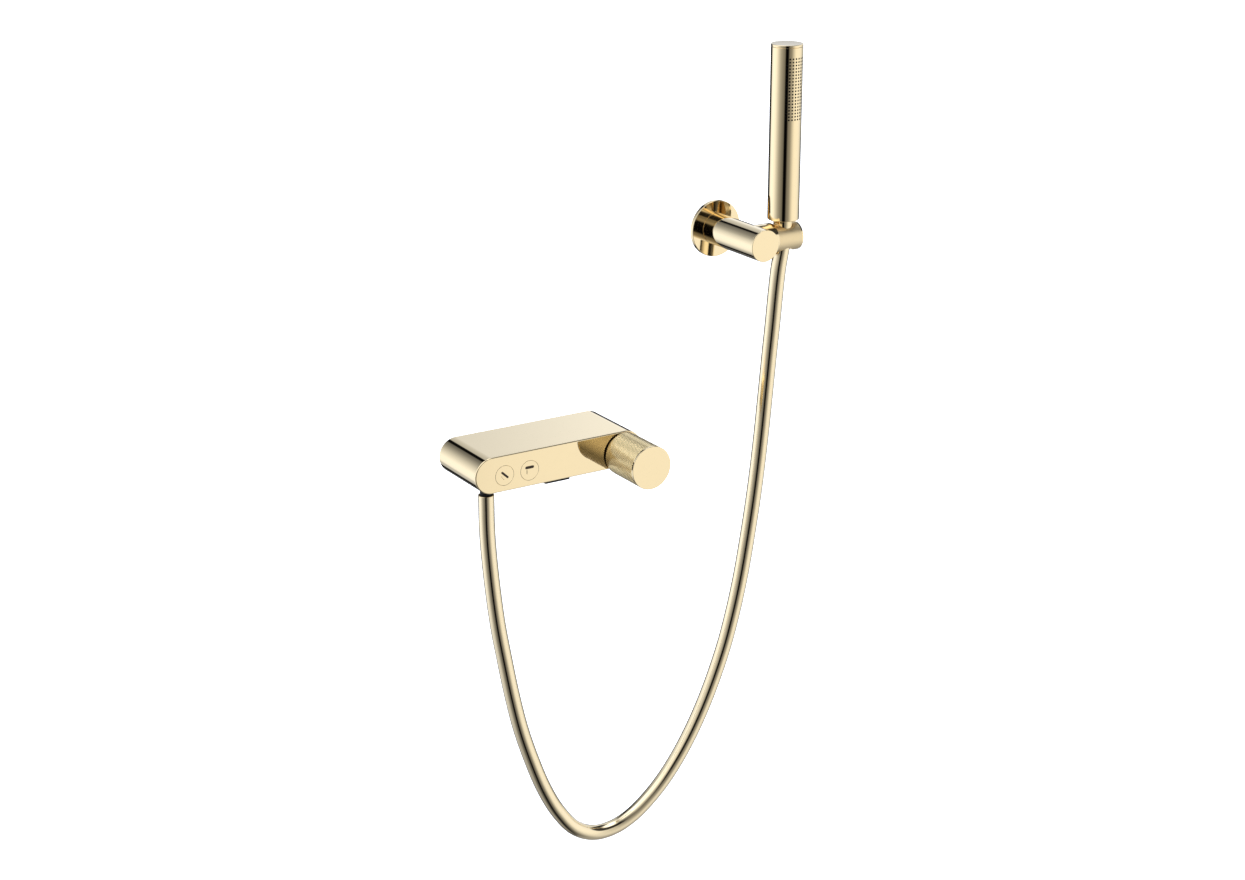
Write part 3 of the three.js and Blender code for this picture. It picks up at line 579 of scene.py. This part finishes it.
def make_world():
    """A soft studio round the set, for reflections. The camera itself sees plain white."""
    world = bpy.data.worlds.new("studio")
    bpy.context.scene.world = world
    world.use_nodes = True
    tree = world.node_tree
    tree.nodes.clear()
    place = tree.nodes.new("ShaderNodeTexCoord")
    parts = tree.nodes.new("ShaderNodeSeparateXYZ")
    tree.links.new(place.outputs["Generated"], parts.inputs["Vector"])
    x, y, z = (parts.outputs[name] for name in "XYZ")
    azimuth = calculate(tree, "DEGREES", calculate(tree, "ARCTAN2", x, y))
    elevation = calculate(tree, "DEGREES", calculate(tree, "ARCSINE", z))

    def over_room(by_azimuth, by_elevation):
        """The product of a curve over the azimuth and one over the elevation."""
        along = curve_of(tree, azimuth, by_azimuth, -180, 180)
        return calculate(tree, "MULTIPLY", along, curve_of(tree, elevation, by_elevation, -90, 90))

    share = tree.nodes.new("ShaderNodeMix")
    share.data_type = "FLOAT"
    tree.links.new(curve_of(tree, azimuth, LEFT_BY_AZIMUTH, -180, 180), share.inputs["Factor"])
    tree.links.new(over_room(LIGHT_BY_AZIMUTH, SHARE_ELSEWHERE), share.inputs["A"])
    tree.links.new(over_room(LIGHT_BY_AZIMUTH, SHARE_LEFT), share.inputs["B"])
    level = calculate(tree, "ADD", share.outputs["Result"], over_room(*TOP_LIGHT))
    for flag in FLAGS.values():
        level = calculate(tree, "MULTIPLY", level, calculate(tree, "SUBTRACT", 1.0, over_room(*flag)))

    tint = tree.nodes.new("ShaderNodeMix")
    tint.data_type = "RGBA"
    tint.inputs["A"].default_value = (*FRONT_TINT, 1)
    tint.inputs["B"].default_value = (*BACK_TINT, 1)
    tree.links.new(calculate(tree, "MULTIPLY_ADD", y, 0.5, 0.5), tint.inputs["Factor"])

    studio = tree.nodes.new("ShaderNodeBackground")
    tree.links.new(tint.outputs["Result"], studio.inputs["Color"])
    tree.links.new(level, studio.inputs["Strength"])
    backdrop = tree.nodes.new("ShaderNodeBackground")
    backdrop.inputs["Color"].default_value = (1, 1, 1, 1)
    rays = tree.nodes.new("ShaderNodeLightPath")
    choice = tree.nodes.new("ShaderNodeMixShader")
    output = tree.nodes.new("ShaderNodeOutputWorld")
    tree.links.new(rays.outputs["Is Camera Ray"], choice.inputs["Fac"])
    tree.links.new(studio.outputs["Background"], choice.inputs[1])
    tree.links.new(backdrop.outputs["Background"], choice.inputs[2])
    tree.links.new(choice.outputs["Shader"], output.inputs["Surface"])


def make_floor():
    """A plain pale floor under the set, left out of reflections, where the studio stands for it."""
    bm = bmesh.new()
    half = FLOOR_SIZE / 2
    height = cad_box[0].z - FLOOR_DROP
    corners = [(-half, -half), (half, -half), (half, half), (-half, half)]
    bm.faces.new([bm.verts.new((x, y, height)) for x, y in corners])
    floor = new_object("floor", bm)
    material = bpy.data.materials.new("pale_floor")
    material.use_nodes = True
    tree = material.node_tree
    shader = tree.nodes["Principled BSDF"]
    shader.inputs["Base Color"].default_value = (FLOOR_TONE, FLOOR_TONE, FLOOR_TONE, 1)
    shader.inputs["Roughness"].default_value = 0.9
    shader.inputs["Emission Color"].default_value = (1, 1, 1, 1)
    shader.inputs["Emission Strength"].default_value = FLOOR_GLOW
    floor.data.materials.append(material)
    floor.visible_glossy = False


# ---------------------------------------------------------------- mixer casing
SHELL_WALL = 2.4 * MM
UNDERSIDE_CUT = 5 * MM  # how far up the holes in the casing's underside go
SPOUT_CORNER = 2 * MM
EDGE = 1.2 * MM  # rounding of the casing's visible edges
BUTTON_HOLE_R = 10.28 * MM
KNOB_HOLE_R = 9.0 * MM
NECK_HOLE_R = 6.6 * MM
SCREW_HOLE_R = 2.6 * MM
RIM = 0.12 * MM  # chamfer round the button holes
MARK_DEPTH = 0.25 * MM
BUTTON_DISC = 3.5 * MM  # thickness of the part of a button that shows
BUTTON_HUB_R = 3.4 * MM
SPRING_WIRE_R = 0.45 * MM
SPRING_SIDES = 10
SPRING_TURNS = 4
SPRING_STEPS = 24  # places along one turn of a spring


def make_casing():
    shell_bottom = box_of("body_shell").low.z
    panel_low, panel_high, _, panel_half = box_of("front_panel")
    outer_r = panel_half.z
    spread = (panel_half.x - outer_r, 0.0)
    panel_back = panel_high.y
    spout = box_of("spout_outlet")
    spout_spread = (spout.half.x - SPOUT_CORNER, spout.half.y - SPOUT_CORNER)
    neck = box_of("hose_outlet_nipple").centre
    bottom = (shell_bottom - OVERCUT, shell_bottom + UNDERSIDE_CUT)

    inner_r = outer_r - SHELL_WALL
    shell = swept(
        "shell", "y", (0, 0, 0),
        [(outer_r, 0, 0.4 * MM), (outer_r, panel_back + SEAM), (inner_r, panel_back + SEAM),
         (inner_r, 0, 0.3 * MM)],
        spread, CASING_SEGMENTS,
    )
    holes = [
        plug("z", NECK_HOLE_R, *bottom, (neck.x, neck.y, 0)),
        plug("z", SPOUT_CORNER + GAP, *bottom, (spout.centre.x, spout.centre.y, 0), spout_spread),
    ]
    for name in ("shell_grub_screw_left", "shell_grub_screw_right"):
        screw = box_of(name).centre
        holes.append(plug("z", SCREW_HOLE_R, *bottom, (screw.x, screw.y, 0)))
    stand_in(cut(shell, *holes), "body_shell")

    front = panel_low.y
    panel = swept(
        "panel", "y", (0, 0, 0),
        [(0, front), (outer_r, front, EDGE), (outer_r, panel_back - SEAM), (0, panel_back - SEAM)],
        spread, CASING_SEGMENTS,
    )
    holes = []
    for name in ("shower_button_cap", "spout_button_cap"):
        button = box_of(name).centre
        wide = BUTTON_HOLE_R + RIM + OVERCUT
        holes.append(swept(
            "cutter", "y", (button.x, 0, button.z),
            [(0, front - OVERCUT), (wide, front - OVERCUT), (BUTTON_HOLE_R, front + RIM),
             (BUTTON_HOLE_R, panel_back + OVERCUT), (0, panel_back + OVERCUT)],
        ))
    knob = box_of("knob_sleeve").centre
    holes.append(plug("y", KNOB_HOLE_R, front - OVERCUT, panel_back + OVERCUT, (knob.x, 0, knob.z)))
    stand_in(cut(panel, *holes), "front_panel")


# Marks sunk into each button: (x and z from its middle, length, width, turn in degrees), in mm.
BUTTON_MARKS = {
    "shower_button_cap": [
        (0.3, 0.5, 10.4, 2.2, 43),
        (-3.4, -0.8, 0.9, 0.6, 43),
        (-2.3, -2.3, 0.9, 0.6, 43),
        (-1.2, -3.8, 0.9, 0.6, 43),
    ],
    "spout_button_cap": [
        (0.0, 3.2, 10.0, 2.9, 0),
        (-3.1, -1.3, 4.4, 0.7, 90),
    ],
}


def lined(cutter, finish):
    """Gives the cutter a finish that it leaves on the walls of its hole, as the second material."""
    cutter.data.materials.append(None)
    cutter.data.materials.append(MATERIALS[finish])
    for polygon in cutter.data.polygons:
        polygon.material_index = 1
    return cutter


def bar(centre, width, height, turn, front, depth):
    """A flat cutter with round ends, turned in the plane of the front, for a mark on a button."""
    radius = height / 2
    profile = [(0, -depth), (radius, -depth), (radius, depth), (0, depth)]
    obj = lined(swept("cutter", "y", (0, 0, 0), profile, (width / 2 - radius, 0.0), 24), "ink")
    obj.rotation_euler = (0, math.radians(turn), 0)
    obj.location = (centre[0], front, centre[1])
    return obj


def make_buttons():
    """Flush push buttons, each with a mark of the outlet that it opens sunk into its face."""
    for node, bars in BUTTON_MARKS.items():
        low, high, centre, half = box_of(node)
        radius = half.x
        step = low.y + BUTTON_DISC
        cap = swept(
            "cap", "y", (centre.x, 0, centre.z),
            [(0, low.y), (radius, low.y, RIM), (radius, step), (BUTTON_HUB_R, step),
             (BUTTON_HUB_R, high.y), (0, high.y)],
        )
        cap.data.materials.append(MATERIALS["polished_gold"])
        cap.data.materials.append(MATERIALS["ink"])
        tools = []
        for x, z, width, height, turn in bars:
            middle = (centre.x + x * MM, centre.z + z * MM)
            tools.append(bar(middle, width * MM, height * MM, turn, low.y, MARK_DEPTH))
        stand_in(cut(cap, *tools), node)


def make_springs():
    """The springs behind the buttons, each a coil of wire as long as its CAD node; nothing here shortens it
    as its button goes in.
    """
    for outlet in ("shower", "spout"):
        node = f"{outlet}_button_spring"
        low, high, centre, half = box_of(node)
        length = high.y - low.y
        coil_r = half.x - SPRING_WIRE_R
        steps = SPRING_TURNS * SPRING_STEPS
        path = []
        for step in range(steps + 1):
            angle = 2 * math.pi * step / SPRING_STEPS
            y = low.y + SPRING_WIRE_R + (length - 2 * SPRING_WIRE_R) * step / steps
            path.append(Vector((centre.x + coil_r * math.cos(angle), y, centre.z + coil_r * math.sin(angle))))
        spring = tube(f"{node}_fine", path, SPRING_WIRE_R, SPRING_SIDES)
        spring.data.shade_smooth()
        dress(spring, node)
        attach(spring, BODY_OF[node])
        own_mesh(spring)


def set_screw(node, axis, radius, start, end, flats, depth):
    """A headless screw with a hexagon socket in the end that shows, which is its start."""
    centre = box_of(node).centre
    middle = centre - AXES[axis][2] * centre.dot(AXES[axis][2])
    blank = swept(
        "screw", axis, middle,
        [(0, start), (radius, start, 0.3 * MM), (radius, end, 0.3 * MM), (0, end)], segments=48,
    )
    inside = math.copysign(depth, end - start)
    socket = hexagon(axis, flats, start - inside / 2, start + inside, middle)
    stand_in(cut(blank, socket), node)


# ---------------------------------------------------------------- underside
OUTLET_BORE_R = 0.5 * MM
FORMER_CORNER = 1 * MM
FORMER_SLOTS = 7
FORMER_PITCH = 2.8 * MM
FORMER_SLOT_R = 0.8 * MM
FORMER_SLOT_SPREAD = 1.0 * MM
NIPPLE_R = 6.2 * MM
NIPPLE_BORE_R = 3.3 * MM
NIPPLE_COLLAR = 2.3 * MM


def make_underside():
    """Spout outlet with its flow former, the black neck and the two screws that hold the casing."""
    low, high, centre, half = box_of("spout_outlet")
    spread = (half.x - SPOUT_CORNER, half.y - SPOUT_CORNER)
    outlet = swept(
        "outlet", "z", (centre.x, centre.y, 0),
        [(OUTLET_BORE_R, low.z, 0.2 * MM), (SPOUT_CORNER, low.z, 0.4 * MM), (SPOUT_CORNER, high.z),
         (OUTLET_BORE_R, high.z)],
        spread, 32,
    )
    stand_in(outlet, "spout_outlet")

    low, high, centre, half = box_of("spout_flow_former")
    former = swept(
        "former", "z", (centre.x, centre.y, 0),
        [(0, low.z), (FORMER_CORNER, low.z, 0.2 * MM), (FORMER_CORNER, high.z), (0, high.z)],
        (half.x - FORMER_CORNER, half.y - FORMER_CORNER), 16,
    )
    slots = []
    for k in range(FORMER_SLOTS):
        place = (centre.x + (k - (FORMER_SLOTS - 1) / 2) * FORMER_PITCH, centre.y, 0)
        ends = (low.z - OVERCUT, high.z + OVERCUT)
        slots.append(plug("z", FORMER_SLOT_R, *ends, place, (0, FORMER_SLOT_SPREAD), 16))
    stand_in(cut(former, *slots), "spout_flow_former")

    low, high, centre, half = box_of("hose_outlet_nipple")
    collar = high.z - NIPPLE_COLLAR
    neck = swept(
        "neck", "z", (centre.x, centre.y, 0),
        [(NIPPLE_BORE_R, high.z), (half.x, high.z, 0.2 * MM), (half.x, collar, 0.2 * MM),
         (NIPPLE_R, collar), (NIPPLE_R, low.z, 0.3 * MM), (NIPPLE_BORE_R, low.z, 0.3 * MM)],
    )
    stand_in(neck, "hose_outlet_nipple")

    for side in ("left", "right"):
        node = f"shell_grub_screw_{side}"
        low, high, _, half = box_of(node)
        set_screw(node, "z", half.x, low.z, high.z, flats=2.0 * MM, depth=2.2 * MM)


# ---------------------------------------------------------------- wall side
PLATE_HOLE_R = 2.8 * MM
PLATE_SINK_R = 5.0 * MM  # counterbore for the head of a screw
PLATE_SINK_Y = -2.6 * MM
UNION_BORE_R = 7.5 * MM
FILTER_RIM_R = 6.2 * MM
FILTER_DISH = 0.8 * MM
FILTER_MESH_R = 5.4 * MM
FILTER_PITCH = 1.5 * MM
FILTER_HOLE_R = 0.45 * MM
SHANK_R = 2.4 * MM
SCREW_HEAD = 2.0 * MM


def make_wall_side():
    """What shows from behind: the back plate, the unions with their filters and the two screws."""
    low, high, _, half = box_of("back_plate")
    plate = swept(
        "plate", "y", (0, 0, 0),
        [(0, low.y), (half.z, low.y, 0.3 * MM), (half.z, high.y, 0.5 * MM), (0, high.y)],
        (half.x - half.z, 0.0), 96,
    )
    holes = []
    for node in ("inlet_union_hot", "inlet_union_cold"):
        union = box_of(node)
        holes.append(plug("y", union.half.x + GAP, low.y - OVERCUT, high.y + OVERCUT, (union.centre.x, 0, 0)))
    for node in ("manifold_screw_left", "manifold_screw_right"):
        x = box_of(node).centre.x
        holes.append(plug("y", PLATE_HOLE_R, low.y - OVERCUT, high.y + OVERCUT, (x, 0, 0)))
        holes.append(plug("y", PLATE_SINK_R, PLATE_SINK_Y, high.y + OVERCUT, (x, 0, 0)))
    stand_in(cut(plate, *holes), "back_plate")

    for supply in ("hot", "cold"):
        node = f"inlet_union_{supply}"
        low, high, centre, half = box_of(node)
        ring = swept(
            "union", "y", (centre.x, 0, 0),
            [(UNION_BORE_R, high.y, 0.8 * MM), (half.x, high.y, 0.6 * MM), (half.x, low.y, 0.3 * MM),
             (UNION_BORE_R, low.y)],
        )
        stand_in(ring, node)
        node = f"inlet_filter_{supply}"
        low, high, centre, half = box_of(node)
        disc = swept(
            "filter", "y", (centre.x, 0, 0),
            [(0, low.y), (half.x, low.y, 0.2 * MM), (half.x, high.y, 0.3 * MM), (FILTER_RIM_R, high.y),
             (FILTER_RIM_R, high.y - FILTER_DISH), (0, high.y - FILTER_DISH)],
            segments=SMALL_SEGMENTS,
        )
        holes = []
        for row in range(-3, 4):
            for column in range(-4, 5):
                x = (column + 0.5 * (row % 2)) * FILTER_PITCH
                z = row * FILTER_PITCH * math.sqrt(3) / 2
                if math.hypot(x, z) < FILTER_MESH_R:
                    holes.append((centre.x + x, 0, z))
        pegs = many_pegs("y", FILTER_HOLE_R, low.y - OVERCUT, high.y + OVERCUT, holes)
        stand_in(cut(disc, pegs), node)

    for side in ("left", "right"):
        node = f"manifold_screw_{side}"
        low, high, centre, half = box_of(node)
        head = high.y - SCREW_HEAD
        screw = swept(
            "screw", "y", (centre.x, 0, 0),
            [(0, low.y), (SHANK_R, low.y, 0.5 * MM), (SHANK_R, head), (half.x, head, 0.3 * MM),
             (half.x, high.y, 0.6 * MM), (0, high.y)],
            segments=SMALL_SEGMENTS,
        )
        socket = hexagon("y", 3.0 * MM, high.y + OVERCUT, high.y - 1.2 * MM, (centre.x, 0, 0))
        stand_in(cut(screw, socket), node)


def many_pegs(axis, radius, start, end, centres, sides=12):
    """One cutter made of many small pegs."""
    along = AXES[axis][2]
    bm = bmesh.new()
    for centre in centres:
        add_peg(bm, Vector(centre) + along * start, Vector(centre) + along * end, radius, sides)
    return new_object("cutter", bm)


def add_peg(bm, start, end, radius, sides=12):
    along = (end - start).normalized()
    across = along.orthogonal().normalized()
    up = along.cross(across)
    turn = [2 * math.pi * k / sides for k in range(sides)]
    rings = [
        [bm.verts.new(point + radius * (across * math.cos(a) + up * math.sin(a))) for a in turn]
        for point in (start, end)
    ]
    for k in range(sides):
        after = (k + 1) % sides
        bm.faces.new((rings[0][k], rings[0][after], rings[1][after], rings[1][k]))
    bm.faces.new(rings[0])
    bm.faces.new(rings[1])


# ---------------------------------------------------------------- knob
KNURL_STEP = 1.20 * MM  # from a valley of the knurl to the next peak
KNURL_DEPTH = 0.30 * MM
KNOB_WALL = 2.8 * MM
KNOB_CAP = 1.8 * MM


def make_knob():
    low, high, centre, half = box_of("knob_sleeve")
    radius = half.x
    around = 2 * round(math.pi * radius / KNURL_STEP)
    rows = 2 * round((high.y - low.y) / KNURL_STEP / 2)
    bm = bmesh.new()

    def ring(r, y, peaks=None):
        """One ring of points, where every second point stands out if peaks is 0 or 1."""
        points = []
        for k in range(around):
            angle = 2 * math.pi * k / around
            out = r + (KNURL_DEPTH if peaks is not None and k % 2 == peaks else 0)
            place = (centre.x + out * math.cos(angle), y, centre.z + out * math.sin(angle))
            points.append(bm.verts.new(place))
        return points

    valley_r = radius - KNURL_DEPTH
    rings = []
    for row in range(rows + 1):
        y = low.y + (high.y - low.y) * row / rows
        edge = row in (0, rows)
        rings.append(ring(valley_r, y, None if edge else (row + 1) % 2))
    rings.append(ring(radius - KNOB_WALL, high.y))
    rings.append(ring(radius - KNOB_WALL, low.y))
    for row in range(len(rings)):
        a, b = rings[row], rings[(row + 1) % len(rings)]
        for k in range(around):
            after = (k + 1) % around
            if row >= rows:
                bm.faces.new((a[k], a[after], b[after], b[k]))
            elif (row + k) % 2 == 0:
                bm.faces.new((a[k], a[after], b[after]))
                bm.faces.new((a[k], b[after], b[k]))
            else:
                bm.faces.new((a[k], a[after], b[k]))
                bm.faces.new((a[after], b[after], b[k]))
    sleeve = new_object("knob_sleeve_fine", bm)
    dress(sleeve, "knob_sleeve")
    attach(sleeve, BODY_OF["knob_sleeve"])

    low, high, centre, half = box_of("knob_end_cap")
    step = low.y + KNOB_CAP + GAP - SEAM
    plug_r = half.x - KNOB_WALL - GAP
    cap = swept(
        "cap", "y", (centre.x, 0, centre.z),
        [(0, low.y), (half.x, low.y, 0.5 * MM), (half.x, step, 0.1 * MM), (plug_r, step),
         (plug_r, high.y), (0, high.y)],
        segments=LARGE_SEGMENTS,
    )
    stand_in(cap, "knob_end_cap")


# ---------------------------------------------------------------- handset
SPRAY_COLUMNS = 7
SPRAY_ROWS = 20
SPRAY_TURN = 12.0  # degrees from one column of spray holes to the next
SPRAY_PITCH = 3.2 * MM
SPRAY_TOP = 13.5 * MM  # from the handset's top to the first row
SPRAY_HOLE_R = 0.95 * MM
HANDSET_WALL = 1.8 * MM
HANDSET_FLOOR = 4 * MM
TAIL_HOLE_R = 8.4 * MM


def make_handset():
    low, high, centre, half = box_of("handset_body")
    cap_low, cap_high, _, _ = box_of("handset_top_cap")
    radius = half.x
    bore_r = radius - HANDSET_WALL
    cap_bottom = high.z + GAP
    axis_point = (centre.x, centre.y, 0)
    body = swept(
        "handset", "z", axis_point,
        [(TAIL_HOLE_R, low.z), (radius, low.z, 1.0 * MM), (radius, high.z, 0.15 * MM), (bore_r, high.z),
         (bore_r, low.z + HANDSET_FLOOR), (TAIL_HOLE_R, low.z + HANDSET_FLOOR)],
        segments=LARGE_SEGMENTS,
    )
    bm = bmesh.new()
    for column in range(SPRAY_COLUMNS):
        angle = math.radians(SPRAY_TURN * (column - (SPRAY_COLUMNS - 1) / 2))
        outward = Vector((math.sin(angle), -math.cos(angle), 0))
        for row in range(SPRAY_ROWS):
            on_axis = Vector((centre.x, centre.y, cap_high.z - SPRAY_TOP - row * SPRAY_PITCH))
            start = on_axis + outward * (bore_r - OVERCUT)
            add_peg(bm, start, on_axis + outward * (radius + OVERCUT), SPRAY_HOLE_R)
    body.data.materials.append(MATERIALS["polished_gold"])
    body.data.materials.append(MATERIALS["black_rubber"])
    pegs = lined(new_object("cutter", bm), "black_rubber")
    stand_in(cut(body, pegs), "handset_body", [("z", axis_point, radius)])

    cap = swept(
        "top", "z", axis_point,
        [(0, cap_low.z), (bore_r - GAP, cap_low.z), (bore_r - GAP, cap_bottom),
         (radius, cap_bottom, 0.15 * MM), (radius, cap_high.z, 0.5 * MM), (0, cap_high.z)],
        segments=LARGE_SEGMENTS,
    )
    stand_in(cap, "handset_top_cap")


# ---------------------------------------------------------------- wall bracket
SPIGOT_R = 10.0 * MM
SPIGOT_END = -30 * MM
FLANGE = -2.2 * MM
FLANGE_HOLES = (-16 * MM, 16 * MM)  # above and below the middle
ROSETTE_RECESS_R = 22.3 * MM
ROSETTE_RECESS = -2.5 * MM
ARM_BORE_R = 12.4 * MM
ARM_BORE_END = -40 * MM
ARM_PLUG_R = 12.1 * MM
STUB_INSET = 0.02 * MM  # keeps the two cylinders of the arm from sharing a surface
PIVOT_BORE_START = 238 * MM
SCREW_BORE_R = 2.2 * MM
PIVOT_R = 8.0 * MM
PIVOT_START = 245.5 * MM
GROOVE_R = 6.9 * MM  # the groove that the pivot screw runs in
GROOVE_START = 247.0 * MM
GROOVE_END = 251.4 * MM
SLOT_WIDTH = 17.8 * MM
SLOT_REACH = 20 * MM
SLOT_SPREAD = 30 * MM
SOCKET_START = 170 * MM
SOCKET_TOP_R = 10.5 * MM
NECK_R = 9.35 * MM  # the holder's cone where it is narrowest
SOCKET_R = 11.3 * MM


def make_bracket():
    low, high, centre, half = box_of("rosette")
    middle = (centre.x, 0, centre.z)
    rosette = swept(
        "rosette", "y", middle,
        [(SPIGOT_R + GAP, low.y), (half.x, low.y, 0.6 * MM), (half.x, 0, 0.3 * MM),
         (ROSETTE_RECESS_R, 0), (ROSETTE_RECESS_R, ROSETTE_RECESS), (SPIGOT_R + GAP, ROSETTE_RECESS)],
        segments=CASING_SEGMENTS,
    )
    stand_in(rosette, "rosette")

    low, high, centre, half = box_of("mounting_spigot")
    spigot = swept(
        "spigot", "y", middle,
        [(0, low.y), (SPIGOT_R, low.y, 0.6 * MM), (SPIGOT_R, FLANGE), (half.x, FLANGE, 0.3 * MM),
         (half.x, 0, 0.3 * MM), (0, 0)],
    )
    holes = [plug("y", SHANK_R, -4 * MM, OVERCUT, (centre.x, 0, centre.z + z)) for z in FLANGE_HOLES]
    stand_in(cut(spigot, *holes), "mounting_spigot")

    cap_low, cap_high, _, cap_half = box_of("arm_end_cap")
    arm_low, arm_high, _, _ = box_of("arm_body")
    holder_centre = box_of("holder_end_cap").centre
    arm_r = cap_half.x
    pivot = (0, holder_centre.y, holder_centre.z)
    arm_front = arm_low.y
    stub_r = arm_r - STUB_INSET
    arm = swept(
        "arm", "y", middle,
        [(0, arm_front), (arm_r, arm_front, 0.1 * MM), (arm_r, arm_high.y, 0.3 * MM), (0, arm_high.y)],
        segments=LARGE_SEGMENTS,
    )
    stub = swept(
        "stub", "x", pivot,
        [(0, centre.x), (stub_r, centre.x), (stub_r, arm_high.x, 0.3 * MM), (0, arm_high.x)],
        segments=LARGE_SEGMENTS,
    )
    join(arm, stub)
    tools = [
        plug("y", SPIGOT_R + GAP, SPIGOT_END, 0, middle),
        plug("y", ARM_BORE_R, arm_front - OVERCUT, ARM_BORE_END, middle),
        plug("x", PIVOT_R + GAP, PIVOT_BORE_START, arm_high.x + OVERCUT, pivot),
    ]
    for node in ("arm_grub_screw", "pivot_grub_screw"):
        screw = box_of(node)
        below = centre.z - arm_r - OVERCUT
        tools.append(plug("z", SCREW_BORE_R, below, screw.high.z, (screw.centre.x, screw.centre.y, 0)))
    stand_in(cut(arm, *tools), "arm_body", [("y", middle, arm_r), ("x", pivot, stub_r)])

    cap = swept(
        "cap", "y", middle,
        [(0, cap_low.y), (arm_r, cap_low.y, 0.5 * MM), (arm_r, arm_front - SEAM),
         (ARM_PLUG_R, arm_front - SEAM), (ARM_PLUG_R, cap_high.y), (0, cap_high.y)],
        segments=LARGE_SEGMENTS,
    )
    stand_in(cap, "arm_end_cap")
    for node in ("arm_grub_screw", "pivot_grub_screw"):
        low, high, _, half = box_of(node)
        set_screw(node, "z", half.x, low.z, high.z, flats=1.8 * MM, depth=1.8 * MM)

    low, high, _, half = box_of("friction_washer")
    washer = swept(
        "washer", "x", pivot,
        [(PIVOT_R + GAP, low.x), (half.z, low.x, 0.2 * MM), (half.z, high.x, 0.2 * MM),
         (PIVOT_R + GAP, high.x)],
    )
    stand_in(washer, "friction_washer")


def make_holder():
    cap_low, cap_high, cap_centre, cap_half = box_of("holder_end_cap")
    nut_low = box_of("hose_cone_nut").low
    handset = box_of("handset_body")
    radius = cap_half.z
    pivot = (0, cap_centre.y, cap_centre.z)
    bore_axis = (handset.centre.x, cap_centre.y, 0)
    washer = box_of("friction_washer")
    recess_r = washer.half.z + 0.15 * MM
    recess_end = washer.high.x + 0.1 * MM
    face = box_of("arm_body").high.x + SEAM
    end = cap_low.x - SEAM
    blank = swept(
        "holder", "x", pivot,
        [(0, PIVOT_START), (PIVOT_R, PIVOT_START, 0.4 * MM), (PIVOT_R, GROOVE_START),
         (GROOVE_R, GROOVE_START), (GROOVE_R, GROOVE_END), (PIVOT_R, GROOVE_END), (PIVOT_R, recess_end),
         (recess_r, recess_end), (recess_r, face), (radius, face, 0.12 * MM), (radius, end), (0, end)],
        segments=LARGE_SEGMENTS,
    )
    bore = swept(
        "cutter", "z", bore_axis,
        [(0, SOCKET_START), (SOCKET_R, SOCKET_START), (SOCKET_R, nut_low.z - 0.6 * MM), (NECK_R, nut_low.z),
         (SOCKET_TOP_R, handset.low.z), (0, handset.low.z)],
    )
    slot_axis = (handset.centre.x, 0, cap_centre.z)
    slot_ends = (cap_centre.y, cap_centre.y + SLOT_REACH)
    slot = plug("y", SLOT_WIDTH / 2, *slot_ends, slot_axis, (0, SLOT_SPREAD), 16)
    stand_in(cut(blank, bore, slot), "holder_body", [("x", pivot, radius)])

    cap = swept(
        "cap", "x", pivot,
        [(0, cap_low.x), (radius, cap_low.x), (radius, cap_high.x, 0.7 * MM), (0, cap_high.x)],
        segments=LARGE_SEGMENTS,
    )
    stand_in(cap, "holder_end_cap")


# ---------------------------------------------------------------- build
make_camera()
make_hose()
make_world()
make_floor()
make_casing()
make_buttons()
make_springs()
make_underside()
make_wall_side()
make_knob()
make_handset()
make_bracket()
make_holder()
for node, obj in frame["nodes"].items():
    if not obj.hide_render:
        obj.material_slots[0].material = MATERIALS[SLOT_OF[node]]
bpy.context.scene.view_settings.view_transform = "Standard"
